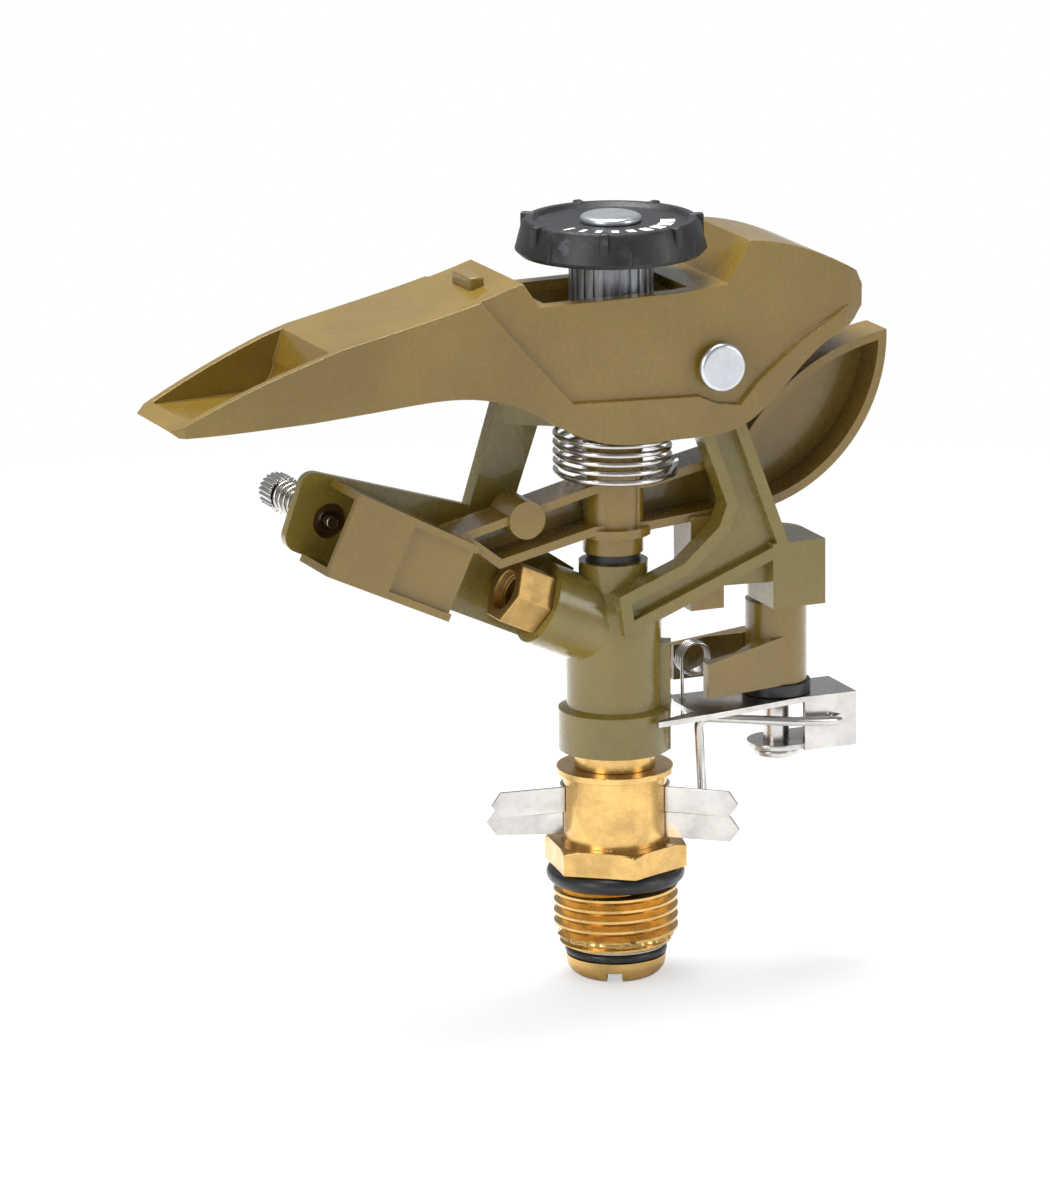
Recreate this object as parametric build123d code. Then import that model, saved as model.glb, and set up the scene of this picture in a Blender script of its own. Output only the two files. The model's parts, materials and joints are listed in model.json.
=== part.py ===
from build123d import *
import os
from math import cos, radians, sin, tan

# Impact sprinkler head, part-circle type, in millimetres.
# Z is the inlet axis, pointing up. The jet leaves towards -X and climbs. The stop
# gear hangs at +X. The origin is on the inlet axis at the root of the thread.

# Inlet nipple
THREAD_RADIUS = 20.955 / 2
THREAD_LENGTH = 8.5
THREAD_LEAD = 2.0
THREAD_LEAD_RADIUS = 8.6
SEAL_GROOVE_HEIGHT = 3.0
SEAL_GROOVE_RADIUS = 8.75
HEX_ACROSS_FLATS = 21.4
HEX_HEIGHT = 4.3
HEX_TURN = 22.0
HEX_CHAMFER_RADIUS = 11.2
BEARING_RADIUS = 8.7
BEARING_HEIGHT = 11.6
NIPPLE_FLANGE_RADIUS = 9.8
NIPPLE_FLANGE_HEIGHT = 1.1
SEAL_RING_SECTION = 2.9

# Water tube and its foot
SPINDLE_RADIUS = 5.5
SPINDLE_BORE_RADIUS = 3.6
FOOT_TIP_RADIUS = 6.3
FOOT_RADIUS = 8.4
FOOT_HEIGHT = 3.6
FOOT_SLOT_WIDTH = 2.6
FOOT_SLOT_DEPTH = 1.9
FOOT_SLOT_TURN = -116.0
FOOT_RING_SECTION = 1.6
FOOT_RING_RADIUS = 7.8
THRUST_WASHER_THICKNESS = 0.5
RUNNING_CLEARANCE = 0.05
FREE_GAP = 0.3

# Collar and spring between nipple and body
COLLAR_RADIUS = 6.8
COLLAR_HEIGHT = 5.4
BODY_GAP = 3.1
BEARING_SPRING_WIRE = 0.9
BEARING_SPRING_TURNS = 2.5

# Stop clips
CLIP_THICKNESS = 0.5
CLIP_HEIGHT = 4.4
CLIP_GAP = 0.1
CLIP_TAB_REACH = 21.6
CLIP_TAB_POINT = 1.6
UPPER_CLIP_LEFT = 174.0
UPPER_CLIP_RIGHT = -42.0
LOWER_CLIP_LEFT = 158.0
LOWER_CLIP_RIGHT = -40.0

# Body barrel
SKIRT_RADIUS = 9.4
SKIRT_HEIGHT = 7.0
SKIRT_WALL = 1.8
BARREL_RADIUS = 8.0
BARREL_HEIGHT = 17.5
BODY_NECK_RADIUS = 5.8
BODY_TOP_Z = 55.6
SHOULDER_HEIGHT = 3.6
CHAMBER_RADIUS = 4.2
RIB_TURN = -27.0
RIB_WIDTH = 3.4
RIB_HEIGHT = 18.4
RIB_OUTER_RADIUS = 9.5

# Jet branch and nozzle
JET_CLIMB = 25.0
JET_ROOT_Z = 43.3
BRANCH_RADIUS = 7.0
BRANCH_LENGTH = 15.0
NOZZLE_ACROSS_FLATS = 10.0
NOZZLE_END = 21.8
NOZZLE_SHANK_RADIUS = 4.6
NOZZLE_SHANK_LENGTH = 6.0
NOZZLE_BORE_RADIUS = 2.6
NOZZLE_MOUTH_RADIUS = 3.3
NOZZLE_MOUTH_DEPTH = 1.6
VANE_THICKNESS = 0.8
VANE_LENGTH = 8.0

# Stream-side plate and its diffuser screw
PLATE_Y = 6.5
PLATE_THICKNESS = 2.0
PLATE_BOTTOM = -6.8
PLATE_START = 8.0
PLATE_END = 60.5
PLATE_TIP_TOP = 6.4
PLATE_ROOT_TOP = 10.7
PLATE_ROOT_S = 30.0
PLATE_CORNER_RADIUS = 2.6
SCREW_S = 52.9
SCREW_RADIUS = 1.6
SCREW_TIP_RADIUS = 1.0
SCREW_TIP_LENGTH = 3.0
SCREW_LENGTH = 25.5
SCREW_HEAD_RADIUS = 3.2
SCREW_HEAD_LENGTH = 4.5
SCREW_TIP_Y = 5.4
SCREW_BUSH_RADIUS = 3.0
SCREW_BOSS_RADIUS = 4.6
SCREW_BOSS_LENGTH = 5.0
SCREW_SPRING_WIRE = 0.7
SCREW_SPRING_RADIUS = 2.5
SCREW_SPRING_TURNS = 6

# Bridge and its legs
STRUT_FRONT_Y = -9.4
STRUT_DEPTH = 4.2
STRUT_RIB = 2.0
STRUT_POCKET = 1.7
LEG_BACK_Y = 9.6
LEG_DEPTH = 3.4
BRIDGE_LOW_Z = 79.0
BRIDGE_HEIGHT = 6.5
BRIDGE_BOSS_RADIUS = 6.8
BRIDGE_BOSS_TOP_Z = 96.0
BRIDGE_BOSS_LOW_Z = 77.2
BRIDGE_WIDTH = 8.0
BRIDGE_WEB = 6.0

# Arm shaft and washers
SHAFT_RADIUS = 2.4
SHAFT_SEAT_DEPTH = 6.5
SHAFT_TOP_Z = 82.0
ARM_WASHER_RADIUS = 4.6
ARM_WASHER_GAP = 0.1

# Drive arm
HUB_RADIUS = 5.1
HUB_BOTTOM_Z = 57.2
HUB_TOP_Z = 75.6
BUSH_WALL = 0.9
HUB_FLANGE_RADIUS = 6.4
HUB_FLANGE_THICKNESS = 1.5
BEAM_LOW_Z = 61.0
BEAM_RIB = 1.5
BEAM_FRONT_Y = -4.2
BEAM_BACK_Y = 3.6
WEB_THICKNESS = 1.5
BEAM_BOSS_RADIUS = 3.2
SPOON_TOP = 5.6
SPOON_BOTTOM = -7.8
SPOON_WALL = 1.3
SPOON_START = 32.2
SPOON_STEP = 44.4
SPOON_END = 55.8
SPOON_FRONT_Y = -6.6
SPOON_STEP_DEPTH = 1.2
SPOON_BACK_Y = 5.6
LEG_X = 12.0
LEG_WIDTH = 6.0
LEG_TIP_Z = 46.4
TRAY_FRONT_Y = -4.2
TRAY_WALL = 1.5
TRAY_TIP_X = 48.4
TRAY_TIP_Z = 91.0

# Arm torsion spring
ARM_SPRING_RADIUS = 9.5
ARM_SPRING_WIRE = 0.95
ARM_SPRING_PITCH = 1.55
ARM_SPRING_TURNS = 5.0
ARM_SPRING_LOW_Z = 70.4
ARM_SPRING_TAIL_TURN = -35.0
ARM_SPRING_TAIL = 8.2

# Range shield
SHIELD_HALF_WIDTH = 12.0
SHIELD_WALL = 1.7
SHIELD_TIP_HALF_WIDTH = 9.6
SHIELD_TIP_X = -81.0
SHIELD_WIDE_X = -58.0
SCOOP_FLOOR_Z = 88.0
SCOOP_BACK_X = -57.0
SCOOP_LIP = 3.0
SADDLE_HOLE_FRONT_X = -15.6
SADDLE_HOLE_BACK_X = 10.0
SADDLE_HOLE_HALF_WIDTH = 8.2
SHIELD_PIN_X = 14.3
SHIELD_PIN_Z = 89.4
SHIELD_PIN_RADIUS = 2.5
RIVET_HEAD_RADIUS = 4.1
RIVET_HEAD_HEIGHT = 1.5
PIN_LUG_RADIUS = 4.7

# Range knob
KNOB_LOW_Z = 107.8
KNOB_HEIGHT = 5.8
KNOB_LOW_RADIUS = 15.9
KNOB_TOP_RADIUS = 14.7
KNOB_DISH_RADIUS = 13.0
KNOB_DISH_DEPTH = 0.7
KNOB_NOTCHES = 7
KNOB_NOTCH_RADIUS = 0.7
CAP_RADIUS = 5.1
CAP_HEIGHT = 1.3
CAP_EDGE = 0.8
STEM_RADIUS = 7.0
STEM_LOW_Z = 96.6
STEM_SPLINES = 24
SPLINE_DEPTH = 0.45
STEM_SCREW_RADIUS = 4.5
STEM_SCREW_LENGTH = 11.0

# Stop gear on its pin
GEAR_X = 29.8
LUG_LOW_Z = 46.4
LUG_TOP_Z = 57.6
LUG_HALF_WIDTH = 4.8
GEAR_PIN_RADIUS = 2.2
GEAR_PIN_LOW_Z = 18.8
GEAR_PIN_HEAD_RADIUS = 4.0
GEAR_PIN_HEAD = 1.1
FORK_LOW_Z = 31.8
FORK_TOP_Z = 45.8
FORK_HUB_RADIUS = 5.2
FORK_REACH = 16.2
FORK_ARM_WIDTH = 2.2
FORK_HALF_SPAN = 8.2
FORK_TIP_HEIGHT = 6.0
FORK_ROOT_HEIGHT = 8.6
GEAR_WASHER_RADIUS = 5.8
LEVER_SHEET = 1.0
LEVER_TOP_Z = 29.6
LEVER_LEAF_TOP_Z = 21.2
LEVER_BACK_X = 42.0
LEVER_HALF_WIDTH = 6.0
WIRE_RADIUS = 0.8
WIRE_PIVOT_X = 38.3
WIRE_PIVOT_Z = 25.2
WIRE_RUN_Y = -7.7
WIRE_STOP_X = 14.0
WIRE_STOP_Y = -3.0
WIRE_STOP_LOW_Z = 9.2
TOGGLE_X = 15.7
TOGGLE_Y = 1.2
TOGGLE_Z = 36.3
TOGGLE_RADIUS = 2.7
TOGGLE_WIRE = 0.6
TOGGLE_TURNS = 4

# Heights past the hood, for cuts that run through it
HOOD_BELOW_Z = 60.0
HOOD_ABOVE_Z = 120.0

# Levels that follow from the sizes above
GROOVE_LOW_Z = 0.2
THREAD_LOW_Z = GROOVE_LOW_Z - THREAD_LENGTH
NIPPLE_LOW_Z = THREAD_LOW_Z - THREAD_LEAD
HEX_LOW_Z = GROOVE_LOW_Z + SEAL_GROOVE_HEIGHT
HEX_TOP_Z = HEX_LOW_Z + HEX_HEIGHT
FLANGE_LOW_Z = HEX_TOP_Z + BEARING_HEIGHT
NIPPLE_TOP_Z = FLANGE_LOW_Z + NIPPLE_FLANGE_HEIGHT
FOOT_TOP_Z = NIPPLE_LOW_Z - THRUST_WASHER_THICKNESS - FOOT_RING_SECTION
FOOT_LOW_Z = FOOT_TOP_Z - FOOT_HEIGHT
SKIRT_LOW_Z = NIPPLE_TOP_Z + BODY_GAP
SKIRT_TOP_Z = SKIRT_LOW_Z + SKIRT_HEIGHT
BARREL_TOP_Z = SKIRT_TOP_Z + BARREL_HEIGHT
COLLAR_TOP_Z = NIPPLE_TOP_Z + COLLAR_HEIGHT
SPINDLE_TOP_Z = SKIRT_TOP_Z + SHAFT_SEAT_DEPTH
PLATE_BACK_Y = PLATE_Y + PLATE_THICKNESS
STRUT_BACK_Y = STRUT_FRONT_Y + STRUT_DEPTH
LEG_FRONT_Y = LEG_BACK_Y - LEG_DEPTH
SHIELD_INNER = SHIELD_HALF_WIDTH - SHIELD_WALL

JET = Plane(
    origin=(0, 0, JET_ROOT_Z),
    x_dir=(0, 1, 0),
    z_dir=(-cos(radians(JET_CLIMB)), 0, sin(radians(JET_CLIMB))),
)


def jet_point(along, above):
    """X and Z of a point given along the jet and square to it."""
    climb = radians(JET_CLIMB)
    return (
        -along * cos(climb) + above * sin(climb),
        JET_ROOT_Z + along * sin(climb) + above * cos(climb),
    )


def cylinder(radius, z_low, z_high, x=0.0, y=0.0):
    return Pos(x, y, (z_low + z_high) / 2) * Cylinder(radius, z_high - z_low)


def tube(outer, inner, z_low, z_high, x=0.0, y=0.0):
    return cylinder(outer, z_low, z_high, x, y) - cylinder(inner, z_low - 1, z_high + 1, x, y)


def bar_along_y(radius, x, z, y_low, y_high):
    return Pos(x, (y_low + y_high) / 2, z) * Rot(90, 0, 0) * Cylinder(radius, y_high - y_low)


def block(x_low, x_high, y_low, y_high, z_low, z_high):
    centre = Pos((x_low + x_high) / 2, (y_low + y_high) / 2, (z_low + z_high) / 2)
    return centre * Box(x_high - x_low, y_high - y_low, z_high - z_low)


def side_slab(face, y_low, y_high):
    """Solid between two depths from a face drawn in X and Z."""
    return extrude(Plane.XZ.offset(-y_high) * face, amount=y_high - y_low)


def plan_slab(face, z_low, z_high):
    """Solid between two heights from a face drawn in X and Y."""
    return extrude(Pos(0, 0, z_low) * face, amount=z_high - z_low)


def polygon(*points):
    return make_face(Polyline(*points, close=True))


def turned(*points):
    """Solid turned about Z from a half profile of radius and height."""
    return revolve(Plane.XZ * polygon(*points), Axis.Z)


def coil(radius, wire, pitch, turns, lefthand=False):
    """Wire coil that starts at +X and climbs Z from zero."""
    path = Helix(pitch, pitch * turns, radius, lefthand=lefthand)
    section = Plane(path @ 0, z_dir=path % 0) * Circle(wire / 2)
    return sweep(section, path=path, is_frenet=True)


def rod(start, end, radius):
    """Round bar between two points."""
    line = Line(start, end)
    return extrude(Plane(line @ 0, z_dir=line % 0) * Circle(radius), amount=line.length)


def bent_wire(points, radius, bend):
    """Round wire along straight runs joined by bends."""
    path = FilletPolyline(*points, radius=bend)
    return sweep(Plane(path @ 0, z_dir=path % 0) * Circle(radius), path=path)


def inlet_nipple():
    body = turned(
        (0, NIPPLE_LOW_Z),
        (THREAD_LEAD_RADIUS, NIPPLE_LOW_Z),
        (THREAD_RADIUS, THREAD_LOW_Z),
        (THREAD_RADIUS, GROOVE_LOW_Z),
        (SEAL_GROOVE_RADIUS, GROOVE_LOW_Z),
        (SEAL_GROOVE_RADIUS, HEX_LOW_Z),
        (BEARING_RADIUS, HEX_LOW_Z),
        (BEARING_RADIUS, FLANGE_LOW_Z),
        (NIPPLE_FLANGE_RADIUS, FLANGE_LOW_Z),
        (NIPPLE_FLANGE_RADIUS, NIPPLE_TOP_Z),
        (0, NIPPLE_TOP_Z),
    )
    hexagon = RegularPolygon(HEX_ACROSS_FLATS / 2, 6, major_radius=False, rotation=HEX_TURN)
    corner_drop = (HEX_ACROSS_FLATS - HEX_CHAMFER_RADIUS) * tan(radians(30))
    cone = turned(
        (0, HEX_LOW_Z),
        (HEX_ACROSS_FLATS, HEX_LOW_Z),
        (HEX_ACROSS_FLATS, HEX_TOP_Z - corner_drop),
        (HEX_CHAMFER_RADIUS, HEX_TOP_Z),
        (0, HEX_TOP_Z),
    )
    body += plan_slab(hexagon, HEX_LOW_Z, HEX_TOP_Z) & cone
    return body - cylinder(SPINDLE_RADIUS + RUNNING_CLEARANCE, NIPPLE_LOW_Z - 1, NIPPLE_TOP_Z + 1)


def ring(radius, section, z):
    return Pos(0, 0, z) * Torus(radius, section / 2)


def spindle():
    edge = FOOT_TOP_Z - FOOT_HEIGHT / 4
    belly = FOOT_TIP_RADIUS + 0.7 * (FOOT_RADIUS - FOOT_TIP_RADIUS)
    belly_z = FOOT_LOW_Z + 0.4 * (edge - FOOT_LOW_Z)
    outline = [
        Line((0, FOOT_LOW_Z), (FOOT_TIP_RADIUS, FOOT_LOW_Z)),
        ThreePointArc((FOOT_TIP_RADIUS, FOOT_LOW_Z), (belly, belly_z), (FOOT_RADIUS, edge)),
        Polyline(
            (FOOT_RADIUS, edge),
            (FOOT_RADIUS, FOOT_TOP_Z),
            (SPINDLE_RADIUS, FOOT_TOP_Z),
            (SPINDLE_RADIUS, SPINDLE_TOP_Z),
            (0, SPINDLE_TOP_Z),
            (0, FOOT_LOW_Z),
        ),
    ]
    body = revolve(Plane.XZ * make_face(outline), Axis.Z)
    body -= cylinder(SPINDLE_BORE_RADIUS, FOOT_LOW_Z - 1, SPINDLE_TOP_Z + 1)
    slot = Rot(0, 0, FOOT_SLOT_TURN) * block(
        -2 * FOOT_RADIUS,
        2 * FOOT_RADIUS,
        -FOOT_SLOT_WIDTH / 2,
        FOOT_SLOT_WIDTH / 2,
        FOOT_LOW_Z - 1,
        FOOT_LOW_Z + FOOT_SLOT_DEPTH,
    )
    return body - slot


def bearing_spring():
    height = SKIRT_TOP_Z - FREE_GAP - COLLAR_TOP_Z - BEARING_SPRING_WIRE - FREE_GAP
    pitch = height / BEARING_SPRING_TURNS
    spring = coil(COLLAR_RADIUS - FREE_GAP, BEARING_SPRING_WIRE, pitch, BEARING_SPRING_TURNS)
    return Pos(0, 0, COLLAR_TOP_Z + FREE_GAP + BEARING_SPRING_WIRE / 2) * spring


def stop_clip(z_low, left_turn, right_turn):
    """Strip round the back of the bearing cylinder with both ends bent out."""
    inner = BEARING_RADIUS + RUNNING_CLEARANCE
    outer = inner + CLIP_THICKNESS
    z_high = z_low + CLIP_HEIGHT
    reach = 3 * outer
    front = [(0, 0)]
    steps = 4
    sweep_back = 360 - (left_turn - right_turn)
    for step in range(steps + 1):
        turn = radians(left_turn + sweep_back * step / steps)
        front.append((reach * cos(turn), reach * sin(turn)))
    band = tube(outer, inner, z_low, z_high) - plan_slab(polygon(*front), z_low - 1, z_high + 1)
    tab_face = polygon(
        (inner, z_low),
        (CLIP_TAB_REACH - CLIP_TAB_POINT, z_low),
        (CLIP_TAB_REACH, z_low + CLIP_HEIGHT / 2),
        (CLIP_TAB_REACH - CLIP_TAB_POINT, z_high),
        (inner, z_high),
    )
    left_tab = Rot(0, 0, left_turn) * side_slab(tab_face, -CLIP_THICKNESS, 0)
    right_tab = Rot(0, 0, right_turn) * side_slab(tab_face, 0, CLIP_THICKNESS)
    return band + left_tab + right_tab


def branch_outline():
    return extrude(JET * Circle(BRANCH_RADIUS), amount=BRANCH_LENGTH)


def screw_place():
    """X and Z of the diffuser screw, which lies along Y."""
    return jet_point(SCREW_S, 0)


def stream_plate():
    face = polygon(
        jet_point(PLATE_START, PLATE_BOTTOM),
        jet_point(PLATE_END - PLATE_CORNER_RADIUS / 2, PLATE_BOTTOM),
        jet_point(PLATE_END, PLATE_TIP_TOP),
        jet_point(PLATE_ROOT_S, PLATE_ROOT_TOP),
        jet_point(PLATE_START, BRANCH_RADIUS),
    )
    plate = side_slab(face, PLATE_Y, PLATE_BACK_Y)
    tips = plate.edges().filter_by(Axis.Y).sort_by(Axis.X)[:2]
    plate = fillet(tips, PLATE_CORNER_RADIUS)
    x, z = screw_place()
    end = PLATE_BACK_Y + SCREW_BOSS_LENGTH
    plate += bar_along_y(SCREW_BOSS_RADIUS, x, z, PLATE_Y, end)
    return plate - bar_along_y(SCREW_BUSH_RADIUS, x, z, PLATE_Y - 1, end + 1)


def strut_face():
    """Outline of the front leg, bent like a corner bracket."""
    return polygon(
        (-2.0, 44.4),
        (28.4, 56.2),
        (19.6, BRIDGE_LOW_Z + 1),
        (11.2, BRIDGE_LOW_Z + 1),
        (16.6, 65.2),
        (15.2, 61.6),
        (8.6, 55.8),
        (-3.0, 51.4),
    )


def front_strut():
    face = strut_face()
    strut = side_slab(face, STRUT_FRONT_Y, STRUT_BACK_Y)
    pocket = offset(face, amount=-STRUT_RIB, kind=Kind.INTERSECTION)
    return strut - side_slab(pocket, STRUT_FRONT_Y - 1, STRUT_FRONT_Y + STRUT_POCKET)


def back_leg():
    face = polygon(
        jet_point(PLATE_ROOT_S, PLATE_ROOT_TOP - 3),
        (-15.2, 63.6),
        (-14.6, 67.4),
        (-8.2, BRIDGE_LOW_Z + BRIDGE_HEIGHT),
        (-17.0, BRIDGE_LOW_Z + BRIDGE_HEIGHT),
        (-23.4, 65.0),
    )
    return side_slab(face, LEG_FRONT_Y, LEG_BACK_Y)


def bridge():
    bar = plan_slab(
        polygon(
            (19.4, STRUT_FRONT_Y),
            (19.4, STRUT_BACK_Y),
            (0, BRIDGE_WIDTH / 2 + 2),
            (-8.2, LEG_BACK_Y),
            (-17.0, LEG_BACK_Y),
            (-17.0, LEG_FRONT_Y),
            (0, -BRIDGE_WIDTH / 2 - 2),
            (11.4, STRUT_FRONT_Y),
        ),
        BRIDGE_LOW_Z,
        BRIDGE_LOW_Z + BRIDGE_HEIGHT,
    )
    boss = cylinder(BRIDGE_BOSS_RADIUS, BRIDGE_BOSS_LOW_Z, BRIDGE_BOSS_TOP_Z)
    half = SHIELD_INNER - FREE_GAP * 2
    front_x = SHIELD_PIN_X - PIN_LUG_RADIUS
    back_x = SHIELD_PIN_X + PIN_LUG_RADIUS
    web = BRIDGE_WEB / 2
    lug = bar_along_y(PIN_LUG_RADIUS, SHIELD_PIN_X, SHIELD_PIN_Z, -half, half)
    lug += block(0, back_x, -web, web, BRIDGE_LOW_Z, SHIELD_PIN_Z)
    lug += block(front_x, back_x, STRUT_FRONT_Y, web, BRIDGE_LOW_Z, SHIELD_PIN_Z)
    return bar + boss + lug


def gear_lug():
    lug = block(
        GEAR_X - LUG_HALF_WIDTH, GEAR_X + LUG_HALF_WIDTH, STRUT_FRONT_Y, 0, LUG_LOW_Z, LUG_TOP_Z
    )
    lug += cylinder(LUG_HALF_WIDTH, LUG_LOW_Z, LUG_TOP_Z, GEAR_X)
    face = polygon((14, 51), (GEAR_X, LUG_LOW_Z + 4), (GEAR_X, LUG_TOP_Z), (20, LUG_TOP_Z))
    return lug + side_slab(face, STRUT_FRONT_Y + 2, STRUT_BACK_Y)


def body_casting():
    shell = turned(
        (0, SKIRT_LOW_Z),
        (SKIRT_RADIUS, SKIRT_LOW_Z),
        (SKIRT_RADIUS, SKIRT_TOP_Z),
        (BARREL_RADIUS, SKIRT_TOP_Z + 0.6),
        (BARREL_RADIUS, BARREL_TOP_Z),
        (BODY_NECK_RADIUS, BARREL_TOP_Z + SHOULDER_HEIGHT),
        (BODY_NECK_RADIUS, BODY_TOP_Z),
        (0, BODY_TOP_Z),
    )
    rib = Rot(0, 0, RIB_TURN) * block(
        0, RIB_OUTER_RADIUS, -RIB_WIDTH / 2, RIB_WIDTH / 2, SKIRT_LOW_Z, SKIRT_LOW_Z + RIB_HEIGHT
    )
    shell += rib
    shell += branch_outline()
    shell += stream_plate()
    shell += front_strut()
    shell += back_leg()
    shell += bridge()
    shell += gear_lug()

    shell -= cylinder(SKIRT_RADIUS - SKIRT_WALL, SKIRT_LOW_Z - 1, SKIRT_TOP_Z)
    shell -= cylinder(SPINDLE_RADIUS + RUNNING_CLEARANCE, SKIRT_LOW_Z, SPINDLE_TOP_Z)
    shell -= cylinder(CHAMBER_RADIUS, SKIRT_LOW_Z, JET_ROOT_Z)
    shell -= extrude(JET * Circle(CHAMBER_RADIUS), amount=BRANCH_LENGTH)
    seat = JET.offset(BRANCH_LENGTH - NOZZLE_SHANK_LENGTH)
    seat_radius = NOZZLE_SHANK_RADIUS + RUNNING_CLEARANCE
    shell -= extrude(seat * Circle(seat_radius), amount=NOZZLE_SHANK_LENGTH + 1)
    shell -= cylinder(SHAFT_RADIUS + RUNNING_CLEARANCE, BODY_TOP_Z - SHAFT_SEAT_DEPTH, BODY_TOP_Z + 1)
    shell -= cylinder(SHAFT_RADIUS + RUNNING_CLEARANCE, BRIDGE_BOSS_LOW_Z - 1, SHAFT_TOP_Z)
    stem_low = STEM_LOW_Z - STEM_SCREW_LENGTH
    shell -= cylinder(STEM_SCREW_RADIUS + RUNNING_CLEARANCE, stem_low - FREE_GAP, BRIDGE_BOSS_TOP_Z + 1)
    shell -= bar_along_y(
        SHIELD_PIN_RADIUS + RUNNING_CLEARANCE, SHIELD_PIN_X, SHIELD_PIN_Z, -SHIELD_HALF_WIDTH, SHIELD_HALF_WIDTH
    )
    shell -= cylinder(GEAR_PIN_RADIUS + RUNNING_CLEARANCE, LUG_LOW_Z - 1, LUG_TOP_Z - 2, GEAR_X)
    return shell


def nozzle():
    shank = JET.offset(BRANCH_LENGTH - NOZZLE_SHANK_LENGTH)
    face = JET.offset(BRANCH_LENGTH)
    hexagon = RegularPolygon(NOZZLE_ACROSS_FLATS / 2, 6, major_radius=False)
    body = extrude(shank * Circle(NOZZLE_SHANK_RADIUS), amount=NOZZLE_SHANK_LENGTH)
    body += extrude(face * hexagon, amount=NOZZLE_END - BRANCH_LENGTH)
    mouth = JET.offset(NOZZLE_END - NOZZLE_MOUTH_DEPTH)
    body -= extrude(JET * Circle(NOZZLE_BORE_RADIUS), amount=NOZZLE_END + 1)
    return body - extrude(mouth * Circle(NOZZLE_MOUTH_RADIUS), amount=NOZZLE_MOUTH_DEPTH + 1)


def flow_vane():
    """Cross-shaped straightener in the branch, behind the nozzle."""
    reach = CHAMBER_RADIUS - RUNNING_CLEARANCE
    face = Rectangle(2 * reach, VANE_THICKNESS) + Rectangle(VANE_THICKNESS, 2 * reach)
    start = JET.offset(BRANCH_LENGTH - NOZZLE_SHANK_LENGTH - VANE_LENGTH - FREE_GAP)
    cross = extrude(start * face, amount=VANE_LENGTH)
    return cross & extrude(start * Circle(reach), amount=VANE_LENGTH)


def diffuser_bush():
    x, z = screw_place()
    end = PLATE_BACK_Y + SCREW_BOSS_LENGTH
    start = PLATE_Y + 1.0
    body = bar_along_y(SCREW_BUSH_RADIUS, x, z, start, end)
    return body - bar_along_y(SCREW_RADIUS + RUNNING_CLEARANCE, x, z, start - 1, end + 1)


def diffuser_screw():
    x, z = screw_place()
    shoulder = SCREW_TIP_Y + SCREW_TIP_LENGTH
    end = SCREW_TIP_Y + SCREW_LENGTH
    body = bar_along_y(SCREW_TIP_RADIUS, x, z, SCREW_TIP_Y, shoulder)
    body += bar_along_y(SCREW_RADIUS, x, z, shoulder, end - SCREW_HEAD_LENGTH)
    return body + bar_along_y(SCREW_HEAD_RADIUS, x, z, end - SCREW_HEAD_LENGTH, end)


def diffuser_spring():
    x, z = screw_place()
    start = PLATE_BACK_Y + SCREW_BOSS_LENGTH + SCREW_SPRING_WIRE / 2
    end = SCREW_TIP_Y + SCREW_LENGTH - SCREW_HEAD_LENGTH - SCREW_SPRING_WIRE / 2
    pitch = (end - start) / SCREW_SPRING_TURNS
    spring = coil(SCREW_SPRING_RADIUS, SCREW_SPRING_WIRE, pitch, SCREW_SPRING_TURNS)
    return Pos(x, start, z) * Rot(-90, 0, 0) * spring


def pivot_shaft():
    return cylinder(SHAFT_RADIUS, BODY_TOP_Z - SHAFT_SEAT_DEPTH, SHAFT_TOP_Z)


def arm_washer(z_low, z_high):
    return tube(ARM_WASHER_RADIUS, SHAFT_RADIUS + RUNNING_CLEARANCE, z_low, z_high)


def beam_face():
    """Side outline of the arm from the spoon to the tray."""
    return polygon(
        jet_point(26.0, SPOON_TOP - 2.4),
        (-5.0, BEAM_LOW_Z),
        (5.0, BEAM_LOW_Z),
        (20.0, BEAM_LOW_Z + 1.2),
        (23.0, 73.6),
        (5.0, 69.8),
        (-5.0, 69.6),
        jet_point(36.0, SPOON_TOP),
    )


def tray_face():
    """Leaf outline of the counterweight between two arcs."""
    tip = (TRAY_TIP_X, TRAY_TIP_Z)
    root_low = (18.0, BEAM_LOW_Z + 1.0)
    root_high = (20.6, 72.4)
    return make_face(
        [
            ThreePointArc(root_low, (40.2, 70.4), tip),
            ThreePointArc(tip, (34.6, 86.4), root_high),
            Line(root_high, root_low),
        ]
    )


def spoon():
    """Box of two walls with a stepped front, open to the stream plate."""
    def wall(t_low, t_high, flare):
        face = polygon(
            jet_point(SPOON_START, t_low),
            jet_point(SPOON_END, t_low + flare),
            jet_point(SPOON_END, t_high + flare),
            jet_point(SPOON_START, t_high),
        )
        return side_slab(face, SPOON_FRONT_Y, SPOON_BACK_Y)

    top_flare = 1.2
    box = wall(SPOON_TOP - SPOON_WALL, SPOON_TOP, top_flare)
    box += wall(SPOON_BOTTOM, SPOON_BOTTOM + SPOON_WALL, 0)
    outer = polygon(
        jet_point(SPOON_STEP, SPOON_BOTTOM),
        jet_point(SPOON_END, SPOON_BOTTOM),
        jet_point(SPOON_END, SPOON_TOP + top_flare),
        jet_point(SPOON_STEP, SPOON_TOP + top_flare / 2),
    )
    inner = polygon(
        jet_point(SPOON_START, SPOON_BOTTOM),
        jet_point(SPOON_STEP, SPOON_BOTTOM),
        jet_point(SPOON_STEP, SPOON_TOP + top_flare / 2),
        jet_point(SPOON_START, SPOON_TOP),
    )
    box += side_slab(outer, SPOON_FRONT_Y, SPOON_FRONT_Y + SPOON_WALL)
    inner_front = SPOON_FRONT_Y + SPOON_STEP_DEPTH
    return box + side_slab(inner, inner_front, inner_front + SPOON_WALL)


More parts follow.
